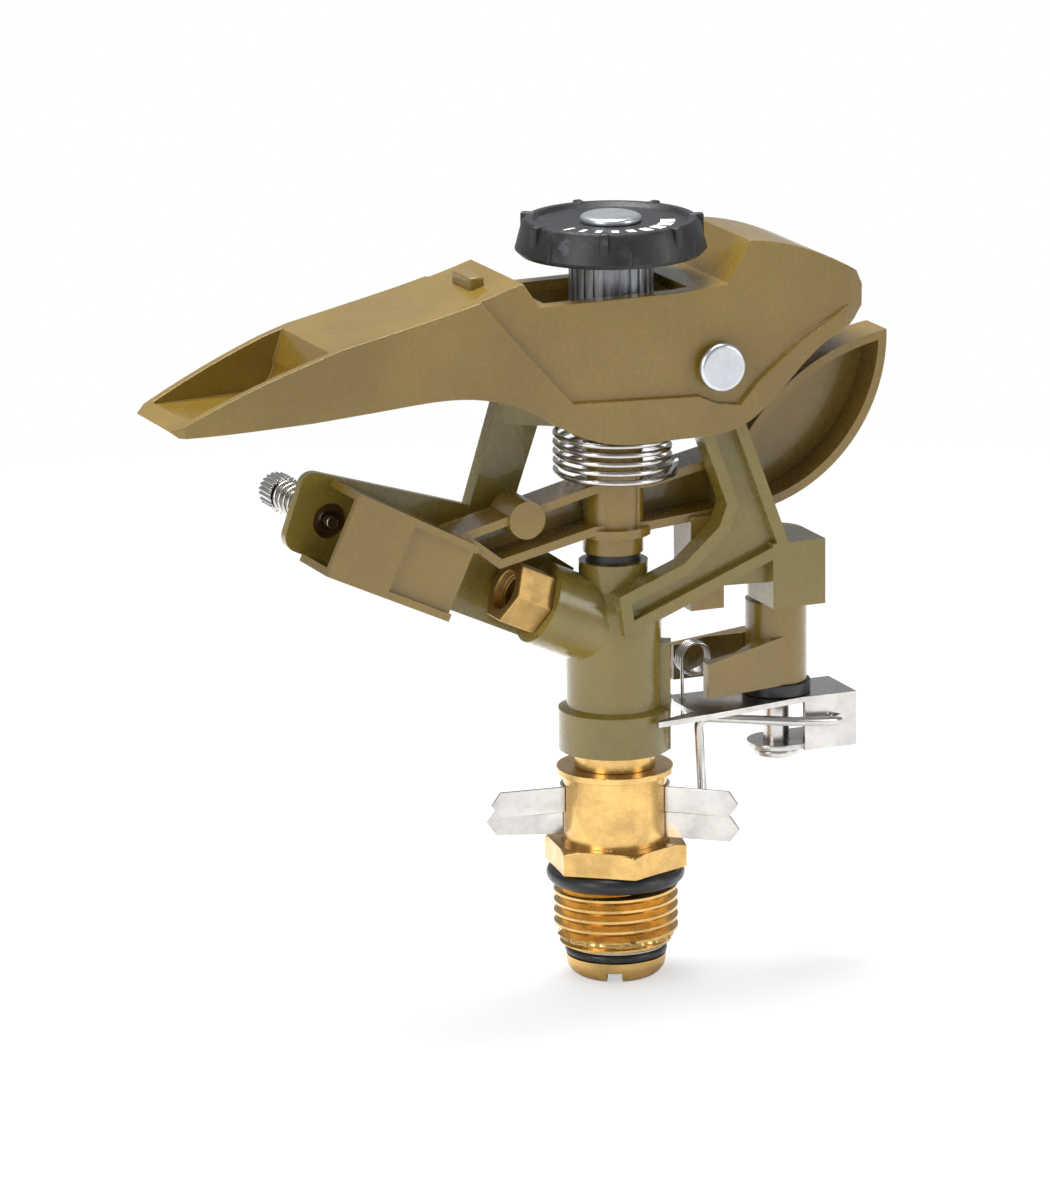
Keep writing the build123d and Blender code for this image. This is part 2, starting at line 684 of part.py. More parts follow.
def drive_arm():
    face = beam_face()
    arm = side_slab(face, BEAM_FRONT_Y, BEAM_BACK_Y)
    pocket = offset(face, amount=-BEAM_RIB, kind=Kind.INTERSECTION)
    arm -= side_slab(pocket, BEAM_FRONT_Y - 1, BEAM_BACK_Y - WEB_THICKNESS)
    tray = side_slab(tray_face(), TRAY_FRONT_Y, BEAM_BACK_Y)
    tray_pocket = offset(tray_face(), amount=-TRAY_WALL, kind=Kind.INTERSECTION)
    tray -= side_slab(tray_pocket, TRAY_FRONT_Y - 1, BEAM_BACK_Y - WEB_THICKNESS)
    arm += tray
    arm += spoon()
    arm += cylinder(HUB_RADIUS, HUB_BOTTOM_Z, HUB_TOP_Z)
    flange = HUB_FLANGE_THICKNESS / 2
    arm += cylinder(HUB_FLANGE_RADIUS, BEAM_LOW_Z - flange, BEAM_LOW_Z + flange)
    arm += bar_along_y(BEAM_BOSS_RADIUS, -17.4, 65.0, BEAM_FRONT_Y - 0.5, BEAM_BACK_Y)
    leg = block(
        LEG_X,
        LEG_X + LEG_WIDTH,
        STRUT_BACK_Y + FREE_GAP,
        BEAM_BACK_Y - WEB_THICKNESS,
        LEG_TIP_Z,
        BEAM_LOW_Z + 1.5,
    )
    arm += leg
    arm -= cylinder(SHAFT_RADIUS + RUNNING_CLEARANCE + BUSH_WALL, HUB_BOTTOM_Z - 1, HUB_TOP_Z + 1)
    hole = rod((ARM_SPRING_RADIUS, 0, 0), (ARM_SPRING_RADIUS, 2 * ARM_SPRING_TAIL, 0), ARM_SPRING_WIRE)
    return arm - Pos(0, 0, ARM_SPRING_LOW_Z) * Rot(0, 0, ARM_SPRING_TAIL_TURN) * hole


def arm_bush():
    inner = SHAFT_RADIUS + RUNNING_CLEARANCE
    return tube(inner + BUSH_WALL, inner, HUB_BOTTOM_Z, HUB_TOP_Z)


def arm_spring():
    spring = coil(ARM_SPRING_RADIUS, ARM_SPRING_WIRE, ARM_SPRING_PITCH, ARM_SPRING_TURNS, lefthand=True)
    tail = rod((ARM_SPRING_RADIUS, 0, 0), (ARM_SPRING_RADIUS, ARM_SPRING_TAIL, 0), ARM_SPRING_WIRE / 2)
    return Pos(0, 0, ARM_SPRING_LOW_Z) * Rot(0, 0, ARM_SPRING_TAIL_TURN) * (spring + tail)


def shield_top(inset):
    """Crest, saddle and hump of the hood, from front to back, lowered by an inset."""
    low = -inset
    front = (-53.0, 98.4 + low)
    crest_end = (-20.4 + low, 106.3 + 1.2 * low)
    hump_start = (20.2 + inset, 109.9 + low)
    back = (40.0 + low, 102.9 + low)
    return [
        Spline(front, (-42.4, 100.7 + low), (-28.6, 103.9 + low), crest_end),
        Polyline(
            crest_end,
            (-17.6 + low, 102.1 + low),
            (7.3, 102.3 + low),
            (16.2 + inset, 103.0 + low),
            hump_start,
        ),
        Spline(hump_start, (25.4, 109.1 + low), (32.7, 106.7 + low), back),
    ]


def shield_side():
    """Side outline of the hood; the bottom edge is a curve through its bends."""
    tip_low = (SHIELD_TIP_X + 1.2, 85.9)
    tip_high = (SHIELD_TIP_X, 86.9)
    heel = (38.5, 94.0)
    bottom = Spline(
        tip_low,
        (-63.7, 86.5),
        (-43.0, 87.9),
        (-31.3, 88.2),
        (-21.6, 85.8),
        (-11.0, 80.0),
        (-3.9, 77.9),
        (6.9, 77.8),
        (17.8, 78.8),
        (22.4, 81.6),
        (28.8, 87.8),
        heel,
    )
    top = shield_top(0.0)
    beak = Spline(tip_high, (-70.3, 92.0), top[0] @ 0)
    tail = Polyline(heel, (41.2, 96.8), (41.3, 100.4), top[-1] @ 1)
    return make_face([bottom, tail, *top, beak, Line(tip_high, tip_low)])


def shield_hollow():
    """Side outline of the space under the hood, open below."""
    top = shield_top(SHIELD_WALL)
    front_x = SCOOP_BACK_X + 1 + SHIELD_WALL
    back_x = 41.2 - SHIELD_WALL
    under = Polyline(
        top[-1] @ 1,
        (back_x, 97.0),
        (back_x, HOOD_BELOW_Z),
        (front_x, HOOD_BELOW_Z),
        (front_x, 93.0),
        top[0] @ 0,
    )
    return make_face([*top, under])


def shield_plan():
    half = SHIELD_HALF_WIDTH
    tip = SHIELD_TIP_HALF_WIDTH
    return polygon(
        (SHIELD_TIP_X, -tip + 2),
        (SHIELD_TIP_X + 2, -tip),
        (SHIELD_WIDE_X, -half),
        (36.0, -half),
        (41.5, -half + 2.5),
        (41.5, half - 2.5),
        (36.0, half),
        (SHIELD_WIDE_X, half),
        (SHIELD_TIP_X + 2, tip),
        (SHIELD_TIP_X, tip - 2),
    )


def range_shield():
    hood = side_slab(shield_side(), -SHIELD_HALF_WIDTH, SHIELD_HALF_WIDTH)
    hood &= plan_slab(shield_plan(), HOOD_BELOW_Z, HOOD_ABOVE_Z)

    hood -= side_slab(shield_hollow(), -SHIELD_INNER, SHIELD_INNER)

    floor_front = SHIELD_TIP_X + SCOOP_LIP
    ramp_foot = (SCOOP_BACK_X - 2, SCOOP_FLOOR_Z)
    ramp_bend = (SCOOP_BACK_X + 1, SCOOP_FLOOR_Z + 5)
    ramp_x = SCOOP_BACK_X + 3
    scoop_face = make_face(
        [
            Polyline((floor_front, HOOD_ABOVE_Z), (floor_front, SCOOP_FLOOR_Z), ramp_foot),
            ThreePointArc(ramp_foot, (SCOOP_BACK_X + 0.2, SCOOP_FLOOR_Z + 2), ramp_bend),
            Polyline(ramp_bend, (ramp_x, 99), (ramp_x, HOOD_ABOVE_Z), (floor_front, HOOD_ABOVE_Z)),
        ]
    )
    inside = SHIELD_WALL
    scoop_plan = polygon(
        (floor_front, -SHIELD_TIP_HALF_WIDTH + inside),
        (SHIELD_WIDE_X, -SHIELD_HALF_WIDTH + inside),
        (SCOOP_BACK_X + 4, -SHIELD_HALF_WIDTH + inside),
        (SCOOP_BACK_X + 4, SHIELD_HALF_WIDTH - inside),
        (SHIELD_WIDE_X, SHIELD_HALF_WIDTH - inside),
        (floor_front, SHIELD_TIP_HALF_WIDTH - inside),
    )
    half = SHIELD_HALF_WIDTH
    hood -= side_slab(scoop_face, -half, half) & plan_slab(scoop_plan, HOOD_BELOW_Z, HOOD_ABOVE_Z)
    hood -= block(
        SADDLE_HOLE_FRONT_X,
        SADDLE_HOLE_BACK_X,
        -SADDLE_HOLE_HALF_WIDTH,
        SADDLE_HOLE_HALF_WIDTH,
        96,
        104,
    )
    return hood - bar_along_y(SHIELD_PIN_RADIUS, SHIELD_PIN_X, SHIELD_PIN_Z, -half - 1, half + 1)


def shield_pin():
    half = SHIELD_HALF_WIDTH
    pin = bar_along_y(SHIELD_PIN_RADIUS, SHIELD_PIN_X, SHIELD_PIN_Z, -half, half)
    for side in (-1, 1):
        ends = sorted((side * half, side * (half + RIVET_HEAD_HEIGHT)))
        pin += bar_along_y(RIVET_HEAD_RADIUS, SHIELD_PIN_X, SHIELD_PIN_Z, *ends)
    return pin


def range_knob():
    top = KNOB_LOW_Z + KNOB_HEIGHT
    knob = turned(
        (0, KNOB_LOW_Z),
        (KNOB_LOW_RADIUS - 0.8, KNOB_LOW_Z),
        (KNOB_LOW_RADIUS, KNOB_LOW_Z + 0.8),
        (KNOB_TOP_RADIUS, top - 0.6),
        (KNOB_TOP_RADIUS - 0.6, top),
        (KNOB_DISH_RADIUS, top),
        (KNOB_DISH_RADIUS - 0.6, top - KNOB_DISH_DEPTH),
        (0, top - KNOB_DISH_DEPTH),
    )
    for number in range(KNOB_NOTCHES):
        turn = 360 * number / KNOB_NOTCHES
        knob -= Rot(0, 0, turn) * cylinder(KNOB_NOTCH_RADIUS, KNOB_LOW_Z - 1, top + 1, KNOB_LOW_RADIUS)
    return knob


def knob_cap():
    low = KNOB_LOW_Z + KNOB_HEIGHT - KNOB_DISH_DEPTH
    high = low + CAP_HEIGHT
    return turned(
        (0, low),
        (CAP_RADIUS, low),
        (CAP_RADIUS, high - CAP_EDGE / 2),
        (CAP_RADIUS - CAP_EDGE, high),
        (0, high),
    )


def knob_stem():
    stem = cylinder(STEM_RADIUS, STEM_LOW_Z, KNOB_LOW_Z)
    groove = block(STEM_RADIUS - SPLINE_DEPTH, STEM_RADIUS + 1, -0.45, 0.45, STEM_LOW_Z - 1, KNOB_LOW_Z + 1)
    for number in range(STEM_SPLINES):
        stem -= Rot(0, 0, 360 * number / STEM_SPLINES) * groove
    return stem + cylinder(STEM_SCREW_RADIUS, STEM_LOW_Z - STEM_SCREW_LENGTH, STEM_LOW_Z)


def gear_pin():
    pin = cylinder(GEAR_PIN_RADIUS, GEAR_PIN_LOW_Z, LUG_TOP_Z - 2, GEAR_X)
    return pin + cylinder(GEAR_PIN_HEAD_RADIUS, GEAR_PIN_LOW_Z, GEAR_PIN_LOW_Z + GEAR_PIN_HEAD, GEAR_X)


def reverse_lever():
    lever = cylinder(FORK_HUB_RADIUS, FORK_LOW_Z, FORK_TOP_Z, GEAR_X)
    tip_x = GEAR_X - FORK_REACH
    height_face = polygon(
        (tip_x, FORK_LOW_Z),
        (GEAR_X, FORK_LOW_Z),
        (GEAR_X, FORK_LOW_Z + FORK_ROOT_HEIGHT),
        (tip_x, FORK_LOW_Z + FORK_TIP_HEIGHT),
    )
    heights = side_slab(height_face, -20, 20)
    for side in (-1, 1):
        outer = side * FORK_HALF_SPAN
        inner = side * (FORK_HALF_SPAN - FORK_ARM_WIDTH)
        plan = polygon(
            (tip_x, outer),
            (tip_x, inner),
            (GEAR_X - 2 * FORK_HUB_RADIUS, inner),
            (GEAR_X - FORK_HUB_RADIUS, side * FORK_HUB_RADIUS / 2),
            (GEAR_X, side * FORK_HUB_RADIUS / 2),
            (GEAR_X, side * (FORK_HUB_RADIUS - 0.2)),
        )
        lever += plan_slab(plan, FORK_LOW_Z, FORK_TOP_Z) & heights
    return lever - cylinder(GEAR_PIN_RADIUS + RUNNING_CLEARANCE, FORK_LOW_Z - 1, FORK_TOP_Z + 1, GEAR_X)


def gear_washer():
    return tube(
        GEAR_WASHER_RADIUS,
        GEAR_PIN_RADIUS + RUNNING_CLEARANCE,
        LEVER_TOP_Z + 0.05,
        FORK_LOW_Z - 0.05,
        GEAR_X,
    )


def trip_lever():
    """Folded stainless sheet: tongue, top plate, end web, side flange and leaf."""
    top_low = LEVER_TOP_Z - LEVER_SHEET
    leaf_low = LEVER_LEAF_TOP_Z - LEVER_SHEET
    half = LEVER_HALF_WIDTH
    top_plan = polygon(
        (3.4, -10.6),
        (14.0, -9.4),
        (GEAR_X + 2, -half),
        (LEVER_BACK_X, -half),
        (LEVER_BACK_X, half - 1),
        (12.4, half - 1),
        (11.4, 1.0),
        (11.6, -6.4),
        (3.4, -9.7),
    )
    lever = plan_slab(top_plan, top_low, LEVER_TOP_Z)
    lever += block(LEVER_BACK_X - LEVER_SHEET, LEVER_BACK_X, -half, half - 1, leaf_low, LEVER_TOP_Z)
    leaf = block(GEAR_X, LEVER_BACK_X, -half + 1, half - 1, leaf_low, LEVER_LEAF_TOP_Z)
    leaf += cylinder(half - 1, leaf_low, LEVER_LEAF_TOP_Z, GEAR_X)
    lever += leaf
    flange = block(GEAR_X + 2.6, LEVER_BACK_X, -half, -half + LEVER_SHEET, leaf_low, LEVER_TOP_Z)
    lever += flange
    lever -= cylinder(GEAR_PIN_RADIUS + RUNNING_CLEARANCE, leaf_low - 1, LEVER_TOP_Z + 1, GEAR_X)
    lever -= bar_along_y(WIRE_RADIUS + RUNNING_CLEARANCE, WIRE_PIVOT_X, WIRE_PIVOT_Z, -half - 1, -half + 2)
    toggle_hole = TOGGLE_X - TOGGLE_RADIUS
    return lever - cylinder(TOGGLE_WIRE, top_low - 1, LEVER_TOP_Z + 1, toggle_hole, TOGGLE_Y)


def trip_wire():
    return bent_wire(
        [
            (WIRE_PIVOT_X, -LEVER_HALF_WIDTH + 2.6, WIRE_PIVOT_Z),
            (WIRE_PIVOT_X, WIRE_RUN_Y, WIRE_PIVOT_Z),
            (GEAR_X, WIRE_RUN_Y, WIRE_PIVOT_Z + 0.8),
            (WIRE_STOP_X, WIRE_STOP_Y, LEVER_TOP_Z - LEVER_SHEET - WIRE_RADIUS - 0.4),
            (WIRE_STOP_X + 1.0, WIRE_STOP_Y, WIRE_STOP_LOW_Z),
        ],
        WIRE_RADIUS,
        1.6,
    )


def toggle_spring():
    pitch = TOGGLE_WIRE * 1.15
    spring = coil(TOGGLE_RADIUS, TOGGLE_WIRE, pitch, TOGGLE_TURNS)
    placed = Pos(TOGGLE_X, TOGGLE_Y, TOGGLE_Z) * Rot(-90, 0, 0) * Rot(0, 0, 180) * spring
    leg_x = TOGGLE_X - TOGGLE_RADIUS
    leg = rod((leg_x, TOGGLE_Y, TOGGLE_Z), (leg_x, TOGGLE_Y, LEVER_TOP_Z - 4), TOGGLE_WIRE / 2)
    return placed + leg


PARTS = {
    "inlet_nipple": inlet_nipple,
    "inlet_seal_ring": lambda: ring(
        SEAL_GROOVE_RADIUS + SEAL_RING_SECTION / 2, SEAL_RING_SECTION, GROOVE_LOW_Z + SEAL_GROOVE_HEIGHT / 2
    ),
    "sand_guard_sleeve": lambda: tube(
        COLLAR_RADIUS, SPINDLE_RADIUS + RUNNING_CLEARANCE, NIPPLE_TOP_Z, COLLAR_TOP_Z
    ),
    "stop_clip_upper": lambda: stop_clip(
        HEX_TOP_Z + 2 * FREE_GAP + CLIP_HEIGHT + CLIP_GAP, UPPER_CLIP_LEFT, UPPER_CLIP_RIGHT
    ),
    "stop_clip_lower": lambda: stop_clip(HEX_TOP_Z + 2 * FREE_GAP, LOWER_CLIP_LEFT, LOWER_CLIP_RIGHT),
    "spindle": spindle,
    "spindle_seal_ring": lambda: ring(FOOT_RING_RADIUS, FOOT_RING_SECTION, FOOT_TOP_Z + FOOT_RING_SECTION / 2),
    "thrust_washer": lambda: tube(
        FOOT_RADIUS, SPINDLE_RADIUS + RUNNING_CLEARANCE, NIPPLE_LOW_Z - THRUST_WASHER_THICKNESS, NIPPLE_LOW_Z
    ),
    "bearing_spring": bearing_spring,
    "body_casting": body_casting,
    "nozzle": nozzle,
    "flow_vane": flow_vane,
    "diffuser_bush": diffuser_bush,
    "diffuser_screw": diffuser_screw,
    "diffuser_spring": diffuser_spring,
    "pivot_shaft": pivot_shaft,
    "arm_washer_lower": lambda: arm_washer(BODY_TOP_Z, HUB_BOTTOM_Z - ARM_WASHER_GAP),
    "arm_washer_upper": lambda: arm_washer(HUB_TOP_Z + ARM_WASHER_GAP, BRIDGE_BOSS_LOW_Z),
    "drive_arm": drive_arm,
    "arm_bush": arm_bush,
    "arm_spring": arm_spring,
    "range_shield": range_shield,
    "shield_pin": shield_pin,
    "range_knob": range_knob,
    "knob_cap": knob_cap,
    "knob_stem": knob_stem,
    "gear_pin": gear_pin,
    "reverse_lever": reverse_lever,
    "gear_washer": gear_washer,
    "trip_lever": trip_lever,
    "trip_wire": trip_wire,
    "toggle_spring": toggle_spring,
}


os.makedirs("parts", exist_ok=True)
for name, build in PARTS.items():
    export_step(build(), f"parts/{name}.step")
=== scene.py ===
import json
import math

import bpy
from mathutils import Matrix, Vector

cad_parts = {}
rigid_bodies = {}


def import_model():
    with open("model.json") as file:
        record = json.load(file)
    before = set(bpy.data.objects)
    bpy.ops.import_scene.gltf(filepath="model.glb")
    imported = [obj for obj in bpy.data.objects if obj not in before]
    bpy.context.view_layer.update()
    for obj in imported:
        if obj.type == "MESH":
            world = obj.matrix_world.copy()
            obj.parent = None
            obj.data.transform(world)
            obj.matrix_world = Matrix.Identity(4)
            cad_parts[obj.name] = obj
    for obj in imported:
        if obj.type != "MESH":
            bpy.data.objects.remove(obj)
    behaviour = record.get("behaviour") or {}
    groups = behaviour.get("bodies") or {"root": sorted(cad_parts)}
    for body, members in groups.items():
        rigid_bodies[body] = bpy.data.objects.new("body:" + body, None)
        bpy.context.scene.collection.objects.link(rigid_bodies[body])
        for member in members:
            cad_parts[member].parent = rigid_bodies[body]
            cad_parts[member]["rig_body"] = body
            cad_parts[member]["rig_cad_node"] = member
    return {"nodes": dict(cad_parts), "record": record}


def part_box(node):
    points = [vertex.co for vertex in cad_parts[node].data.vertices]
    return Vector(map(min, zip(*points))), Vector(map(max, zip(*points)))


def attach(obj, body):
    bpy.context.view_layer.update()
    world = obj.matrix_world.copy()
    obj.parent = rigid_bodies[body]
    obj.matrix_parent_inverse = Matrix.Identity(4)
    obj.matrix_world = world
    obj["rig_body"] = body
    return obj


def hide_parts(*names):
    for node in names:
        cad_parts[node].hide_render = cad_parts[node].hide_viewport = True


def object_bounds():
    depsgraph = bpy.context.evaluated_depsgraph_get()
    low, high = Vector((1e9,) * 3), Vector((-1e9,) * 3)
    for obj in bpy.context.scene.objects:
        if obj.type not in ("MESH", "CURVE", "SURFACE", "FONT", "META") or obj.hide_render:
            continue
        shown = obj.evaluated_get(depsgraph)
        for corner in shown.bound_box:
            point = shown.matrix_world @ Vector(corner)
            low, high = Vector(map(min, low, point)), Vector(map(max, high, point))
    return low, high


bl_info = {
    "name": "Impact Sprinkler Head",
    "version": (1, 0, 0),
    "blender": (4, 5, 0),
    "location": "3D View > Sidebar > Sprinkler",
    "description": "Builds the finished look of an impact sprinkler head over its fixed frame",
    "category": "Object",
}

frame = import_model()
CAD_BOX = [list(corner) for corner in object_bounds()]
MM = 0.001
THREAD_RADIUS = frame["record"]["mounts"][0]["dims"]["r_mm"] * MM
FLOOR_Z = CAD_BOX[0][2]

# Meshing
MERGE_DISTANCE = 0.002 * MM
FLAT_ANGLE = math.radians(0.4)
PLAIN_ANGLE = math.radians(35.0)
SHARP_ANGLE = math.radians(34.0)
BEVELLED_ANGLE = math.radians(50.0)
FLATS_WEIGHT = 60


# Selecting and shaping


def clear_selection():
    """Leaves edit mode and deselects everything."""
    if bpy.context.object is not None and bpy.context.object.mode != "OBJECT":
        bpy.ops.object.mode_set(mode="OBJECT")
    bpy.ops.object.select_all(action="DESELECT")


def make_active(piece):
    clear_selection()
    piece.select_set(True)
    bpy.context.view_layer.objects.active = piece


def edit(piece, mode="FACE"):
    """Opens a piece in edit mode with nothing selected."""
    make_active(piece)
    bpy.ops.object.mode_set(mode="EDIT")
    bpy.ops.mesh.select_mode(type=mode)
    bpy.ops.mesh.select_all(action="DESELECT")
    bpy.ops.object.mode_set(mode="OBJECT")


def pick_faces(piece, wanted):
    """Selects the faces for which wanted(centre, normal) is true, and opens edit mode."""
    edit(piece, "FACE")
    for face in piece.data.polygons:
        face.select = wanted(face.center, face.normal)
    bpy.ops.object.mode_set(mode="EDIT")


def pick_points(piece, wanted):
    """Selects the points for which wanted(place) is true, and opens edit mode."""
    edit(piece, "VERT")
    for point in piece.data.vertices:
        point.select = wanted(point.co)
    bpy.ops.object.mode_set(mode="EDIT")


def leave_edit():
    bpy.ops.object.mode_set(mode="OBJECT")


def apply_all(piece):
    """Applies every modifier of a piece in order."""
    make_active(piece)
    for modifier in list(piece.modifiers):
        bpy.ops.object.modifier_apply(modifier=modifier.name)


def settle(piece):
    """Puts the piece's object at the origin, with its place in its mesh."""
    make_active(piece)
    bpy.ops.object.transform_apply(location=True, rotation=True, scale=True)


def smooth(piece, angle=PLAIN_ANGLE):
    make_active(piece)
    bpy.ops.object.shade_smooth_by_angle(angle=angle)


def paint(piece, material):
    piece.data.materials.clear()
    piece.data.materials.append(material)


def copy_node(node):
    """Copies a node's mesh as a piece of its own and joins its loose triangles."""
    piece = frame["nodes"][node].copy()
    piece.data = piece.data.copy()
    piece.parent = None
    piece.name = "look_" + node
    piece.data.name = piece.name
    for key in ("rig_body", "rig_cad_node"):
        if key in piece:
            del piece[key]
    bpy.context.scene.collection.objects.link(piece)
    edit(piece, "VERT")
    bpy.ops.object.mode_set(mode="EDIT")
    bpy.ops.mesh.select_all(action="SELECT")
    bpy.ops.mesh.remove_doubles(threshold=MERGE_DISTANCE)
    bpy.ops.mesh.dissolve_limited(angle_limit=FLAT_ANGLE)
    leave_edit()
    return piece


def round_edges(piece, width, segments=2, angle=SHARP_ANGLE):
    """Rounds the sharp edges and keeps the flats flat."""
    bevel = piece.modifiers.new("Edges", "BEVEL")
    bevel.width = width
    bevel.segments = segments
    bevel.limit_method = "ANGLE"
    bevel.angle_limit = angle
    bevel.use_clamp_overlap = True
    bevel.miter_outer = "MITER_ARC"
    apply_all(piece)
    smooth(piece, BEVELLED_ANGLE)
    weighted = piece.modifiers.new("Flats", "WEIGHTED_NORMAL")
    weighted.keep_sharp = True
    weighted.weight = FLATS_WEIGHT
    apply_all(piece)


def dressed(node, material, width=0.0, segments=2):
    """A node with rounded edges and its finish, riding where the node rides."""
    piece = copy_node(node)
    if width:
        round_edges(piece, width, segments)
    else:
        smooth(piece)
    paint(piece, finish(material))
    fit(piece, node)


def dress_all(pieces):
    """Dresses nodes, each given as its name, its finish and its edge width in millimetres."""
    for node, material, width in pieces:
        dressed(node, material, width * MM)


def body_of(node):
    for body, nodes in frame["record"]["behaviour"]["bodies"].items():
        if node in nodes:
            return body
    raise RuntimeError("no body for " + node)


def fit(piece, node, replace=True):
    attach(piece, body_of(node))
    if replace:
        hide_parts(node)


# Finishes


class Finish:
    """A material under construction, with short calls for its usual nodes."""

    def __init__(self, name):
        self.material = bpy.data.materials.new(name)
        self.material.use_nodes = True
        self.tree = self.material.node_tree
        self.shader = self.tree.nodes["Principled BSDF"]
        self.place = self.add("ShaderNodeTexCoord").outputs["Object"]

    def add(self, kind, **values):
        node = self.tree.nodes.new(kind)
        for key, value in values.items():
            setattr(node, key, value)
        return node

    def join(self, source, target):
        self.tree.links.new(source, target)

    def stretched(self, scale):
        mapping = self.add("ShaderNodeMapping")
        mapping.inputs["Scale"].default_value = scale
        self.join(self.place, mapping.inputs["Vector"])
        return mapping.outputs["Vector"]

    def noise(self, scale, detail=4.0, rough=0.55, place=None):
        node = self.add("ShaderNodeTexNoise")
        node.inputs["Scale"].default_value = scale
        node.inputs["Detail"].default_value = detail
        node.inputs["Roughness"].default_value = rough
        self.join(place or self.place, node.inputs["Vector"])
        return node.outputs["Fac"]

    def cells(self, scale):
        node = self.add("ShaderNodeTexVoronoi")
        node.inputs["Scale"].default_value = scale
        self.join(self.place, node.inputs["Vector"])
        return node.outputs["Distance"]

    def span(self, value, low, high, to_low=0.0, to_high=1.0):
        node = self.add("ShaderNodeMapRange")
        node.inputs["From Min"].default_value = low
        node.inputs["From Max"].default_value = high
        node.inputs["To Min"].default_value = to_low
        node.inputs["To Max"].default_value = to_high
        self.join(value, node.inputs["Value"])
        return node.outputs["Result"]

    def blend(self, amount, first, second):
        node = self.add("ShaderNodeMix", data_type="RGBA")
        self.join(amount, node.inputs["Factor"])
        for socket, value in (("A", first), ("B", second)):
            target = [s for s in node.inputs if s.name == socket and s.type == "RGBA"][0]
            if isinstance(value, tuple):
                target.default_value = (*value, 1.0)
            else:
                self.join(value, target)
        return [s for s in node.outputs if s.type == "RGBA"][0]

    def maths(self, kind, first, second):
        node = self.add("ShaderNodeMath", operation=kind, use_clamp=True)
        for index, value in enumerate((first, second)):
            if isinstance(value, float):
                node.inputs[index].default_value = value
            else:
                self.join(value, node.inputs[index])
        return node.outputs["Value"]

    def near(self, point, reach, soft):
        """1 near a point of the object, falling to 0."""
        node = self.add("ShaderNodeVectorMath", operation="DISTANCE")
        self.join(self.place, node.inputs[0])
        node.inputs[1].default_value = point
        return self.span(node.outputs["Value"], reach, reach + soft, 1.0, 0.0)

    def colour(self, value):
        if isinstance(value, tuple):
            self.shader.inputs["Base Color"].default_value = (*value, 1.0)
        else:
            self.join(value, self.shader.inputs["Base Color"])

    def rough(self, value):
        if isinstance(value, float):
            self.shader.inputs["Roughness"].default_value = value
        else:
            self.join(value, self.shader.inputs["Roughness"])

    def relief(self, height, distance, strength=1.0, under=None):
        node = self.add("ShaderNodeBump")
        node.inputs["Strength"].default_value = strength
        node.inputs["Distance"].default_value = distance
        self.join(height, node.inputs["Height"])
        if under is not None:
            self.join(under, node.inputs["Normal"])
        self.join(node.outputs["Normal"], self.shader.inputs["Normal"])
        return node.outputs["Normal"]


def shade(colour, factor):
    return tuple(min(1.0, channel * factor) for channel in colour[:3])


def enamel_finish(name, colour, grain):
    """Gloss enamel over a zinc casting, mottled and finely pitted."""
    f = Finish(name)
    broad = f.noise(55, 3)
    fine = f.noise(900, 5, 0.7)
    tone = f.blend(f.span(broad, 0.35, 0.68), shade(colour, 0.9), shade(colour, 1.14))
    tone = f.blend(f.span(fine, 0.60, 0.72, 0.0, 0.35), tone, shade(colour, 1.7))
    pits = f.span(f.cells(650), 0.0, 0.13, 0.5, 0.0)
    tone = f.blend(pits, tone, shade(colour, 0.45))
    f.colour(tone)
    f.rough(f.span(fine, 0.3, 0.75, 0.20, 0.36))
    f.shader.inputs["Coat Weight"].default_value = 0.4
    f.shader.inputs["Coat Roughness"].default_value = 0.07
    first = f.relief(f.noise(420, 3), 0.10 * MM, 0.3 * grain)
    f.relief(fine, 0.05 * MM, 0.5 * grain, first)
    return f.material


def metal_finish(name, colour, low, high, stain, grain=0.03, stretch=(1.0, 1.0, 1.0), scale=700.0):
    """Bare metal with stains and a fine grain."""
    f = Finish(name)
    patches = f.noise(170, 6, 0.65)
    lines = f.noise(scale, 4, 0.6, f.stretched(stretch))
    tone = f.blend(f.span(patches, 0.42, 0.70), colour, shade(colour, stain))
    tone = f.blend(f.span(lines, 0.35, 0.7, 0.0, 0.4), tone, shade(colour, 0.7))
    f.colour(tone)
    f.shader.inputs["Metallic"].default_value = 1.0
    f.rough(f.span(patches, 0.3, 0.7, low, high))
    f.relief(lines, grain * MM, 0.6)
    return f.material


def plastic_finish(name, colour, rough, scuff, scale=500.0):
    """Moulded plastic or rubber with pale scuffs."""
    f = Finish(name)
    cloud = f.noise(120, 5, 0.6)
    fine = f.noise(scale, 5, 0.7)
    marks = f.maths("MULTIPLY", f.span(cloud, 0.5, 0.75), f.span(fine, 0.5, 0.62))
    f.colour(f.blend(marks, colour, scuff))
    f.rough(f.span(fine, 0.3, 0.7, rough - 0.08, rough + 0.1))
    f.relief(fine, 0.04 * MM, 0.5)
    return f.material


FINISHES = {}


def finish(name):
    return FINISHES[name]


# Settings


